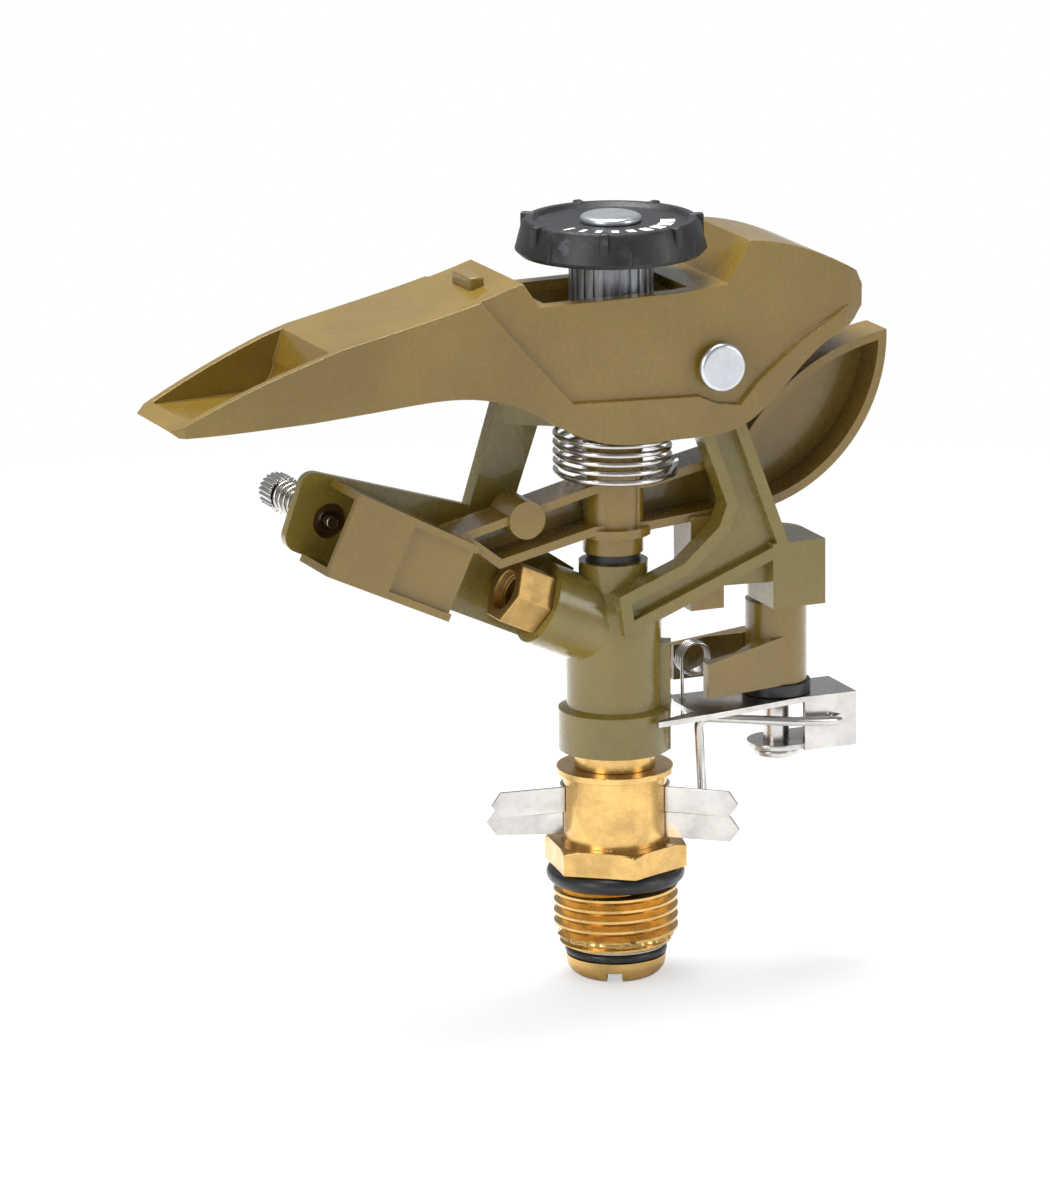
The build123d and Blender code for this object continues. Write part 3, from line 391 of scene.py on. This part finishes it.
class SprinklerLook(bpy.types.PropertyGroup):
    """Sizes and colours of the finished sprinkler head."""

    enamel: bpy.props.FloatVectorProperty(
        name="Enamel", description="Colour of the enamelled castings", subtype="COLOR",
        size=3, min=0.0, max=1.0, default=(0.190, 0.118, 0.016),
    )
    brass: bpy.props.FloatVectorProperty(
        name="Brass", description="Colour of the turned inlet", subtype="COLOR",
        size=3, min=0.0, max=1.0, default=(0.73, 0.47, 0.17),
    )
    steel: bpy.props.FloatVectorProperty(
        name="Steel", description="Colour of the strip and wire parts", subtype="COLOR",
        size=3, min=0.0, max=1.0, default=(0.62, 0.59, 0.56),
    )
    rubber: bpy.props.FloatVectorProperty(
        name="Rubber", description="Colour of the seal rings", subtype="COLOR",
        size=3, min=0.0, max=1.0, default=(0.012, 0.012, 0.013),
    )
    knob: bpy.props.FloatVectorProperty(
        name="Knob", description="Colour of the range knob", subtype="COLOR",
        size=3, min=0.0, max=1.0, default=(0.011, 0.0115, 0.013),
    )
    pitch: bpy.props.FloatProperty(
        name="Thread pitch", description="Rise of the inlet thread for each turn",
        subtype="DISTANCE", default=1.814 * MM, min=0.5 * MM, max=4.0 * MM,
    )
    depth: bpy.props.FloatProperty(
        name="Thread depth", description="Depth of the inlet thread",
        subtype="DISTANCE", default=1.0 * MM, min=0.1 * MM, max=2.0 * MM,
    )
    cast_edge: bpy.props.FloatProperty(
        name="Cast edge", description="Rounding of the castings' edges",
        subtype="DISTANCE", default=0.38 * MM, min=0.05 * MM, max=1.0 * MM,
    )
    knurls: bpy.props.IntProperty(
        name="Knurls", description="Ridges round the head of the diffuser screw",
        default=22, min=8, max=60,
    )
    marks: bpy.props.IntProperty(
        name="Knob marks", description="Worn marks round the knob's face",
        default=9, min=1, max=24,
    )
    floor: bpy.props.FloatVectorProperty(
        name="Floor", description="Colour of the floor", subtype="COLOR",
        size=3, min=0.0, max=1.0, default=(0.92, 0.92, 0.92),
    )


def look():
    return bpy.context.scene.sprinkler_look


# Stage

CAMERA_TURN = math.radians(-23.0)
CAMERA_RISE = math.radians(14.2)
CAMERA_ROLL = math.radians(-0.6)
CAMERA_DISTANCE = 1.3
CAMERA_LENS = 234.0
CAMERA_REACH = 20.0
SENSOR_WIDTH = 36.0
CAMERA_AIM_Z = 48.7 * MM
CAMERA_AIM_SIDE = -14.75 * MM
LAMP_AIM = (-0.01, 0.0, 0.05)
LAMPS = (
    ("top_box", (-0.05, 0.12, 0.75), (0.5, 0.4), 9.0),
    ("left_box", (-0.75, -0.35, 0.35), (0.35, 0.5), 2.6),
    ("right_box", (0.65, -0.65, 0.30), (0.3, 0.5), 2.0),
)
WORLD_TINT = (0.93, 0.96, 1.0, 1.0)
WORLD_STRENGTH = 0.4
FLOOR_SIZE = 6.0
FLOOR_NEAR = 0.10
FLOOR_FADE = 0.30
FLOOR_GLOW = 0.55


def softbox(name, place, size, power):
    data = bpy.data.lights.new(name, "AREA")
    data.shape = "RECTANGLE"
    data.size, data.size_y = size
    data.energy = power
    lamp = bpy.data.objects.new(name, data)
    bpy.context.scene.collection.objects.link(lamp)
    lamp.location = place
    lamp.rotation_euler = (Vector(LAMP_AIM) - Vector(place)).to_track_quat("-Z", "Y").to_euler()


def studio_world():
    """Soft light on the object, and plain white where the camera looks past the floor."""
    world = bpy.data.worlds.new("studio")
    world.use_nodes = True
    tree = world.node_tree
    tree.nodes.clear()
    rays = tree.nodes.new("ShaderNodeLightPath")
    bright = tree.nodes.new("ShaderNodeBackground")
    bright.inputs["Strength"].default_value = 1.0
    soft = tree.nodes.new("ShaderNodeBackground")
    soft.inputs["Color"].default_value = WORLD_TINT
    soft.inputs["Strength"].default_value = WORLD_STRENGTH
    out = tree.nodes.new("ShaderNodeOutputWorld")
    mixed = tree.nodes.new("ShaderNodeMixShader")
    tree.links.new(rays.outputs["Is Camera Ray"], mixed.inputs["Fac"])
    tree.links.new(soft.outputs[0], mixed.inputs[1])
    tree.links.new(bright.outputs[0], mixed.inputs[2])
    tree.links.new(mixed.outputs[0], out.inputs["Surface"])
    return world


def floor_finish():
    """White floor that fades to plain white away from the object."""
    f = Finish("floor_white")
    base = tuple(look().floor)
    f.colour(f.blend(f.span(f.noise(3, 3), 0.3, 0.7), base, shade(base, 0.985)))
    f.rough(0.9)
    f.shader.inputs["Specular IOR Level"].default_value = 0.1
    glow = f.add("ShaderNodeEmission")
    glow.inputs["Strength"].default_value = 1.0
    share = f.add("ShaderNodeMixShader")
    path = f.add("ShaderNodeLightPath")
    close = f.near((0.0, 0.0, FLOOR_Z), FLOOR_NEAR, FLOOR_FADE)
    amount = f.span(close, 0.0, 1.0, 1.0, FLOOR_GLOW)
    seen = f.maths("MULTIPLY", path.outputs["Is Camera Ray"], amount)
    f.join(seen, share.inputs["Fac"])
    f.join(f.shader.outputs[0], share.inputs[1])
    f.join(glow.outputs[0], share.inputs[2])
    f.join(share.outputs[0], f.tree.nodes["Material Output"].inputs["Surface"])
    return f.material


def camera_place():
    """Camera turned and raised about the head, aimed a little to its side."""
    back = Vector((
        math.sin(CAMERA_TURN) * math.cos(CAMERA_RISE),
        -math.cos(CAMERA_TURN) * math.cos(CAMERA_RISE),
        math.sin(CAMERA_RISE),
    ))
    side = Vector((math.cos(CAMERA_TURN), math.sin(CAMERA_TURN), 0.0))
    target = Vector((0.0, 0.0, CAMERA_AIM_Z)) + side * CAMERA_AIM_SIDE
    turn = (-back).to_track_quat("-Z", "Y").to_matrix().to_4x4()
    place = Matrix.Translation(target + back * CAMERA_DISTANCE)
    return place @ turn @ Matrix.Rotation(CAMERA_ROLL, 4, "Z")


class SPRINKLER_OT_stage(bpy.types.Operator):
    """Floor, lamps, world and camera"""

    bl_idname = "sprinkler.stage"
    bl_label = "Stage"

    def execute(self, context):
        scene = context.scene
        scene.view_settings.view_transform = "Standard"

        scene.world = studio_world()

        clear_selection()
        bpy.ops.mesh.primitive_grid_add(
            x_subdivisions=4, y_subdivisions=4, size=FLOOR_SIZE, location=(0.0, 0.0, FLOOR_Z)
        )
        floor = context.object
        floor.name = "floor"
        settle(floor)
        paint(floor, floor_finish())

        for name, place, size, power in LAMPS:
            softbox(name, place, size, power)

        data = bpy.data.cameras.new("camera")
        camera = bpy.data.objects.new("camera", data)
        scene.collection.objects.link(camera)
        camera.matrix_world = camera_place()
        data.lens = CAMERA_LENS
        data.sensor_width = SENSOR_WIDTH
        data.clip_end = CAMERA_REACH
        scene.camera = camera
        return {"FINISHED"}


class SPRINKLER_OT_finishes(bpy.types.Operator):
    """Materials of every piece"""

    bl_idname = "sprinkler.finishes"
    bl_label = "Finishes"

    def execute(self, context):
        own = look()
        enamel = tuple(own.enamel)
        brass = tuple(own.brass)
        steel = tuple(own.steel)
        FINISHES["enamel"] = enamel_finish("olive_enamel_gloss", enamel, 1.0)
        greener = (0.92 * enamel[0], 1.08 * enamel[1], 1.2 * enamel[2])
        FINISHES["enamel_body"] = enamel_finish("olive_enamel_sanded", greener, 1.8)
        FINISHES["brass"] = metal_finish("inlet_brass", brass, 0.16, 0.34, 0.62, 0.02, (1, 1, 9))
        FINISHES["nozzle"] = metal_finish("nozzle_brass_dull", shade(brass, 0.82), 0.28, 0.5, 0.5)
        FINISHES["bronze"] = metal_finish("dull_bronze", (0.33, 0.2, 0.1), 0.3, 0.5, 0.5)
        FINISHES["steel"] = metal_finish("strip_steel", steel, 0.14, 0.3, 0.75, 0.01, (1, 1, 14), 900)
        FINISHES["wire"] = metal_finish("spring_wire", shade(steel, 0.95), 0.16, 0.3, 0.8, 0.01)
        FINISHES["rivet"] = metal_finish("rivet_alloy", (0.66, 0.68, 0.71), 0.28, 0.42, 0.8, 0.03)
        FINISHES["zinc"] = metal_finish("grey_zinc", (0.33, 0.34, 0.36), 0.35, 0.5, 0.7, 0.03)
        grey = (0.05, 0.05, 0.05)
        black = (0.015, 0.015, 0.016)
        print_white = (0.75, 0.76, 0.76)
        print_gap = (0.1, 0.1, 0.11)
        FINISHES["rubber"] = plastic_finish("seal_rubber", tuple(own.rubber), 0.36, grey)
        FINISHES["knob"] = plastic_finish("knob_plastic", tuple(own.knob), 0.44, (0.07, 0.075, 0.08))
        FINISHES["washer"] = plastic_finish("washer_plastic", black, 0.4, grey)
        FINISHES["nylon"] = plastic_finish("pale_nylon", (0.62, 0.6, 0.54), 0.45, (0.5, 0.47, 0.4))
        FINISHES["mark"] = plastic_finish("worn_white_print", print_white, 0.6, print_gap, 900)
        return {"FINISHED"}


# Inlet

THREAD_LOW_Z = -8.3 * MM
THREAD_TOP_Z = 0.2 * MM
THREAD_NOSE_Z = -10.3 * MM
THREAD_NOSE_RADIUS = 8.6 * MM
THREAD_STEPS = 72
CREST_SHARE = 0.12
THREAD_MERGE = 0.01 * MM
THREAD_ANGLE = math.radians(25.0)
THREAD_LIFT = 0.05 * MM


def inlet_thread():
    """Helical thread, cut level at both ends and drawn in at its nose."""
    own = look()
    root = THREAD_RADIUS - own.depth
    half = own.pitch / 2
    crest = CREST_SHARE * own.pitch
    start = THREAD_NOSE_Z - own.pitch
    turns = math.ceil((THREAD_TOP_Z - start) / own.pitch)
    mesh = bpy.data.meshes.new("inlet_thread")
    section = [
        (root, start),
        (THREAD_RADIUS, start + half - crest),
        (THREAD_RADIUS, start + half + crest),
        (root, start + own.pitch),
    ]
    mesh.from_pydata([(r, 0.0, z) for r, z in section], [(0, 1), (1, 2), (2, 3)], [])
    piece = bpy.data.objects.new("inlet_thread", mesh)
    bpy.context.scene.collection.objects.link(piece)
    screw = piece.modifiers.new("Helix", "SCREW")
    screw.axis = "Z"
    screw.screw_offset = own.pitch
    screw.iterations = turns
    screw.steps = THREAD_STEPS
    screw.render_steps = THREAD_STEPS
    apply_all(piece)
    edit(piece, "VERT")
    bpy.ops.object.mode_set(mode="EDIT")
    bpy.ops.mesh.select_all(action="SELECT")
    bpy.ops.mesh.remove_doubles(threshold=THREAD_MERGE)
    for height, above in ((THREAD_TOP_Z, True), (THREAD_NOSE_Z + THREAD_LIFT, False)):
        bpy.ops.mesh.select_all(action="SELECT")
        bpy.ops.mesh.bisect(
            plane_co=(0.0, 0.0, height), plane_no=(0.0, 0.0, 1.0),
            use_fill=True, clear_outer=above, clear_inner=not above,
        )
    bpy.ops.mesh.select_all(action="SELECT")
    bpy.ops.mesh.normals_make_consistent(inside=False)
    leave_edit()
    nose = THREAD_NOSE_RADIUS / root
    pick_points(piece, lambda p: p.z < THREAD_LOW_Z)
    bpy.ops.transform.resize(value=(nose, nose, 1.0), center_override=(0.0, 0.0, 0.0))
    leave_edit()
    smooth(piece, THREAD_ANGLE)
    return piece


def thread_core():
    """The nipple, drawn in to the thread's root along the thread."""
    nipple = copy_node("inlet_nipple")
    root = (THREAD_RADIUS - look().depth) / THREAD_RADIUS
    margin = 0.1 * MM

    def on_thread(p):
        outside = abs(math.hypot(p.x, p.y) - THREAD_RADIUS) < margin
        return outside and p.z < THREAD_TOP_Z + margin

    pick_points(nipple, on_thread)
    bpy.ops.transform.resize(value=(root, root, 1.0), center_override=(0.0, 0.0, 0.0))
    leave_edit()
    round_edges(nipple, 0.16 * MM)
    paint(nipple, finish("brass"))
    fit(nipple, "inlet_nipple")


class SPRINKLER_OT_inlet(bpy.types.Operator):
    """Threaded brass inlet, its sleeve and the water tube's foot"""

    bl_idname = "sprinkler.inlet"
    bl_label = "Inlet"

    def execute(self, context):
        thread = inlet_thread()
        paint(thread, finish("brass"))
        fit(thread, "inlet_nipple", replace=False)
        thread_core()
        dress_all((
            ("sand_guard_sleeve", "brass", 0.12),
            ("spindle", "brass", 0.14),
            ("thrust_washer", "nylon", 0.06),
            ("inlet_seal_ring", "rubber", 0.0),
            ("spindle_seal_ring", "rubber", 0.0),
            ("bearing_spring", "wire", 0.0),
        ))
        return {"FINISHED"}


class SPRINKLER_OT_clips(bpy.types.Operator):
    """Stop clips of stainless strip"""

    bl_idname = "sprinkler.clips"
    bl_label = "Stop clips"

    def execute(self, context):
        dress_all((
            ("stop_clip_upper", "steel", 0.08),
            ("stop_clip_lower", "steel", 0.08),
        ))
        return {"FINISHED"}


# Castings

# Side panel of the hood, with its outline as x and z in millimetres
PANEL_DEPTH = 0.9 * MM
PANEL_GROWTH = 1.025
PANEL_OUTLINE = (
    (-28.4, 104.6),
    (-19.8, 94.6),
    (-11.9, 85.8),
    (10.4, 84.9),
    (13.6, 83.4),
    (17.8, 82.8),
    (21.2, 86.5),
    (29.0, 92.5),
    (44.0, 101.0),
    (44.0, 116.0),
    (-28.4, 116.0),
)
# Rib on the crest, with its centre and size in millimetres
CREST_RIB_PLACE = (-25.6, 0.0, 105.4)
CREST_RIB_SIZE = (2.6, 7.8, 2.2)


def panel_cutter(outside, side):
    """Tapered block that sinks a side panel into one side of the hood."""
    inside = side * (outside - PANEL_DEPTH)
    mesh = bpy.data.meshes.new("panel_cutter")
    points = [(x * MM, inside, z * MM) for x, z in PANEL_OUTLINE]
    mesh.from_pydata(points, [], [tuple(range(len(points)))])
    cutter = bpy.data.objects.new("panel_cutter", mesh)
    bpy.context.scene.collection.objects.link(cutter)
    pick_faces(cutter, lambda centre, normal: True)
    bpy.ops.mesh.extrude_region_move(
        TRANSFORM_OT_translate={"value": (0.0, side * 2 * PANEL_DEPTH, 0.0)}
    )
    bpy.ops.transform.resize(value=(PANEL_GROWTH, 1.0, PANEL_GROWTH))
    bpy.ops.mesh.select_all(action="SELECT")
    bpy.ops.mesh.normals_make_consistent(inside=False)
    leave_edit()
    return cutter


def hood(edge):
    """The hood with sunk side panels and the rib on its crest."""
    piece = copy_node("range_shield")
    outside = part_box("range_shield")[1].y
    for side in (-1, 1):
        cutter = panel_cutter(outside, side)
        cut = piece.modifiers.new("Panel", "BOOLEAN")
        cut.operation = "DIFFERENCE"
        cut.solver = "EXACT"
        cut.object = cutter
        apply_all(piece)
        bpy.data.objects.remove(cutter)
    round_edges(piece, 1.4 * edge, 3)
    paint(piece, finish("enamel"))
    fit(piece, "range_shield")

    clear_selection()
    bpy.ops.mesh.primitive_cube_add(size=MM, location=[value * MM for value in CREST_RIB_PLACE])
    rib = bpy.context.object
    rib.name = "crest_rib"
    rib.scale = CREST_RIB_SIZE
    settle(rib)
    round_edges(rib, 0.4 * MM, 3)
    paint(rib, finish("enamel"))
    fit(rib, "range_shield", replace=False)


class SPRINKLER_OT_castings(bpy.types.Operator):
    """Enamelled castings: body, arm, hood and fork lever"""

    bl_idname = "sprinkler.castings"
    bl_label = "Castings"

    def execute(self, context):
        edge = look().cast_edge
        dressed("body_casting", "enamel_body", edge)
        dressed("drive_arm", "enamel", 0.8 * edge)
        hood(edge)
        dressed("reverse_lever", "enamel", edge)
        return {"FINISHED"}


class SPRINKLER_OT_nozzle(bpy.types.Operator):
    """Hexagon nozzle and flow vane"""

    bl_idname = "sprinkler.nozzle"
    bl_label = "Nozzle"

    def execute(self, context):
        dress_all((("nozzle", "nozzle", 0.25), ("flow_vane", "zinc", 0.08)))
        return {"FINISHED"}


# Diffuser screw
KNURL_LENGTH = 4.5 * MM
KNURL_RIM = 0.35 * MM
KNURL_ANGLE = math.radians(50.0)
RIDGE_SHARE = 0.6
GROOVE_SCALE = 0.9
CORE_SCALE = 0.88


def screw_knurl(x, z, radius, end):
    """Knurled grip of the diffuser screw."""
    knurls = look().knurls
    clear_selection()
    bpy.ops.mesh.primitive_cylinder_add(
        vertices=4 * knurls,
        radius=radius,
        depth=KNURL_LENGTH,
        location=(x, end - KNURL_LENGTH / 2, z),
        rotation=(math.pi / 2, 0.0, 0.0),
    )
    knurl = bpy.context.object
    knurl.name = "screw_knurl"
    settle(knurl)
    step = 2 * math.pi / knurls
    pick_points(knurl, lambda p: math.atan2(p.z - z, p.x - x) % step > RIDGE_SHARE * step)
    bpy.ops.transform.resize(
        value=(GROOVE_SCALE, 1.0, GROOVE_SCALE), center_override=(x, end, z)
    )
    leave_edit()
    for side in (-1, 1):
        pick_faces(knurl, lambda centre, normal: normal.y * side > 0.9)
        bpy.ops.mesh.inset(thickness=KNURL_RIM)
        leave_edit()
    round_edges(knurl, 0.06 * MM, 1, KNURL_ANGLE)
    paint(knurl, finish("steel"))
    fit(knurl, "diffuser_screw", replace=False)


class SPRINKLER_OT_diffuser(bpy.types.Operator):
    """Knurled diffuser screw with its spring and bush"""

    bl_idname = "sprinkler.diffuser"
    bl_label = "Diffuser screw"

    def execute(self, context):
        low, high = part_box("diffuser_screw")
        x = (low.x + high.x) / 2
        z = (low.z + high.z) / 2
        radius = (high.x - low.x) / 2
        screw_knurl(x, z, radius, high.y)

        def under_knurl(p):
            behind = p.y > high.y - KNURL_LENGTH - 0.1 * MM
            return behind and math.hypot(p.x - x, p.z - z) > GROOVE_SCALE * radius

        screw = copy_node("diffuser_screw")
        pick_points(screw, under_knurl)
        bpy.ops.transform.resize(
            value=(CORE_SCALE, 1.0, CORE_SCALE), center_override=(x, high.y, z)
        )
        leave_edit()
        round_edges(screw, 0.12 * MM)
        paint(screw, finish("steel"))
        fit(screw, "diffuser_screw")
        dress_all((("diffuser_spring", "wire", 0.0), ("diffuser_bush", "bronze", 0.12)))
        return {"FINISHED"}


class SPRINKLER_OT_arm_fittings(bpy.types.Operator):
    """Shaft, washers, bush and torsion spring of the drive arm"""

    bl_idname = "sprinkler.arm_fittings"
    bl_label = "Arm fittings"

    def execute(self, context):
        dress_all((
            ("pivot_shaft", "wire", 0.1),
            ("arm_washer_lower", "washer", 0.1),
            ("arm_washer_upper", "washer", 0.1),
            ("arm_bush", "bronze", 0.08),
            ("arm_spring", "wire", 0.0),
        ))
        return {"FINISHED"}


# Range knob
KNOB_RIBS = 7
KNOB_RIB_TURN = math.radians(-15.0)
KNOB_RIB_LENGTH = 2.6 * MM
KNOB_RIB_WIDTH = 1.5 * MM
KNOB_RIB_INSET = 1.7 * MM
MARK_RADIUS = 9.4 * MM
MARK_LENGTH = 2.4 * MM
MARK_START = math.radians(200.0)
MARK_STEP = math.radians(17.0)
MARK_WIDTH = 0.6 * MM
MARK_GROWTH = 0.2 * MM
MARK_HEIGHT = 0.12 * MM


def ring_of_boxes(name, count, start, step, shape):
    """Boxes round the Z axis as one piece; shape(index) gives radius, height and size."""
    boxes = []
    for index in range(count):
        turn = start + index * step
        radius, height, size = shape(index)
        clear_selection()
        bpy.ops.mesh.primitive_cube_add(
            size=1.0,
            location=(radius * math.cos(turn), radius * math.sin(turn), height),
            rotation=(0.0, 0.0, turn),
        )
        box = bpy.context.object
        box.scale = size
        settle(box)
        boxes.append(box)
    clear_selection()
    for box in boxes:
        box.select_set(True)
    bpy.context.view_layer.objects.active = boxes[0]
    bpy.ops.object.join()
    boxes[0].name = name
    return boxes[0]


def knob_details():
    """Grip ribs on the rim and worn marks on the knob's face."""
    low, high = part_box("range_knob")
    height = high.z - low.z
    rib_z = low.z + 0.58 * height
    rib_size = (KNOB_RIB_LENGTH, KNOB_RIB_WIDTH, 0.9 * height)
    ribs = ring_of_boxes(
        "knob_ribs", KNOB_RIBS, KNOB_RIB_TURN, 2 * math.pi / KNOB_RIBS,
        lambda index: (high.x - KNOB_RIB_INSET, rib_z, rib_size),
    )
    round_edges(ribs, 0.35 * MM, 3)
    paint(ribs, finish("knob"))
    fit(ribs, "range_knob", replace=False)

    face_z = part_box("knob_cap")[0].z

    def mark(index):
        return MARK_RADIUS, face_z, (MARK_LENGTH, MARK_WIDTH + index * MARK_GROWTH, MARK_HEIGHT)

    marks = ring_of_boxes("knob_marks", look().marks, MARK_START, MARK_STEP, mark)
    smooth(marks)
    paint(marks, finish("mark"))
    fit(marks, "range_knob", replace=False)


class SPRINKLER_OT_knob(bpy.types.Operator):
    """Range knob with its cap, stem and worn marks"""

    bl_idname = "sprinkler.knob"
    bl_label = "Range knob"

    def execute(self, context):
        dressed("range_knob", "knob", 0.3 * MM, 3)
        knob_details()
        dressed("knob_cap", "rivet", 0.3 * MM, 3)
        dressed("knob_stem", "zinc", 0.06 * MM, 1)
        dressed("shield_pin", "rivet", 0.75 * MM, 4)
        return {"FINISHED"}


class SPRINKLER_OT_stop_gear(bpy.types.Operator):
    """Pin, washer, trip lever, wire and toggle spring"""

    bl_idname = "sprinkler.stop_gear"
    bl_label = "Stop gear"

    def execute(self, context):
        dress_all((
            ("gear_pin", "steel", 0.2),
            ("gear_washer", "washer", 0.15),
            ("trip_lever", "steel", 0.14),
            ("trip_wire", "wire", 0.0),
            ("toggle_spring", "wire", 0.0),
        ))
        return {"FINISHED"}


OPERATORS = (
    SPRINKLER_OT_stage,
    SPRINKLER_OT_finishes,
    SPRINKLER_OT_inlet,
    SPRINKLER_OT_clips,
    SPRINKLER_OT_castings,
    SPRINKLER_OT_nozzle,
    SPRINKLER_OT_diffuser,
    SPRINKLER_OT_arm_fittings,
    SPRINKLER_OT_knob,
    SPRINKLER_OT_stop_gear,
)


class SPRINKLER_PT_panel(bpy.types.Panel):
    """Sidebar panel that lists the pieces and settings"""

    bl_idname = "SPRINKLER_PT_panel"
    bl_label = "Impact Sprinkler Head"
    bl_space_type = "VIEW_3D"
    bl_region_type = "UI"
    bl_category = "Sprinkler"

    def draw(self, context):
        own = context.scene.sprinkler_look
        for name in SprinklerLook.__annotations__:
            self.layout.prop(own, name)
        for kind in OPERATORS:
            self.layout.operator(kind.bl_idname)


CLASSES = (SprinklerLook, *OPERATORS, SPRINKLER_PT_panel)


def register():
    for kind in CLASSES:
        bpy.utils.register_class(kind)
    bpy.types.Scene.sprinkler_look = bpy.props.PointerProperty(type=SprinklerLook)


def unregister():
    del bpy.types.Scene.sprinkler_look
    for kind in reversed(CLASSES):
        bpy.utils.unregister_class(kind)


def main():
    register()
    bpy.ops.sprinkler.stage()
    bpy.ops.sprinkler.finishes()
    bpy.ops.sprinkler.inlet()
    bpy.ops.sprinkler.clips()
    bpy.ops.sprinkler.castings()
    bpy.ops.sprinkler.nozzle()
    bpy.ops.sprinkler.diffuser()
    bpy.ops.sprinkler.arm_fittings()
    bpy.ops.sprinkler.knob()
    bpy.ops.sprinkler.stop_gear()


if __name__ == "__main__":
    main()
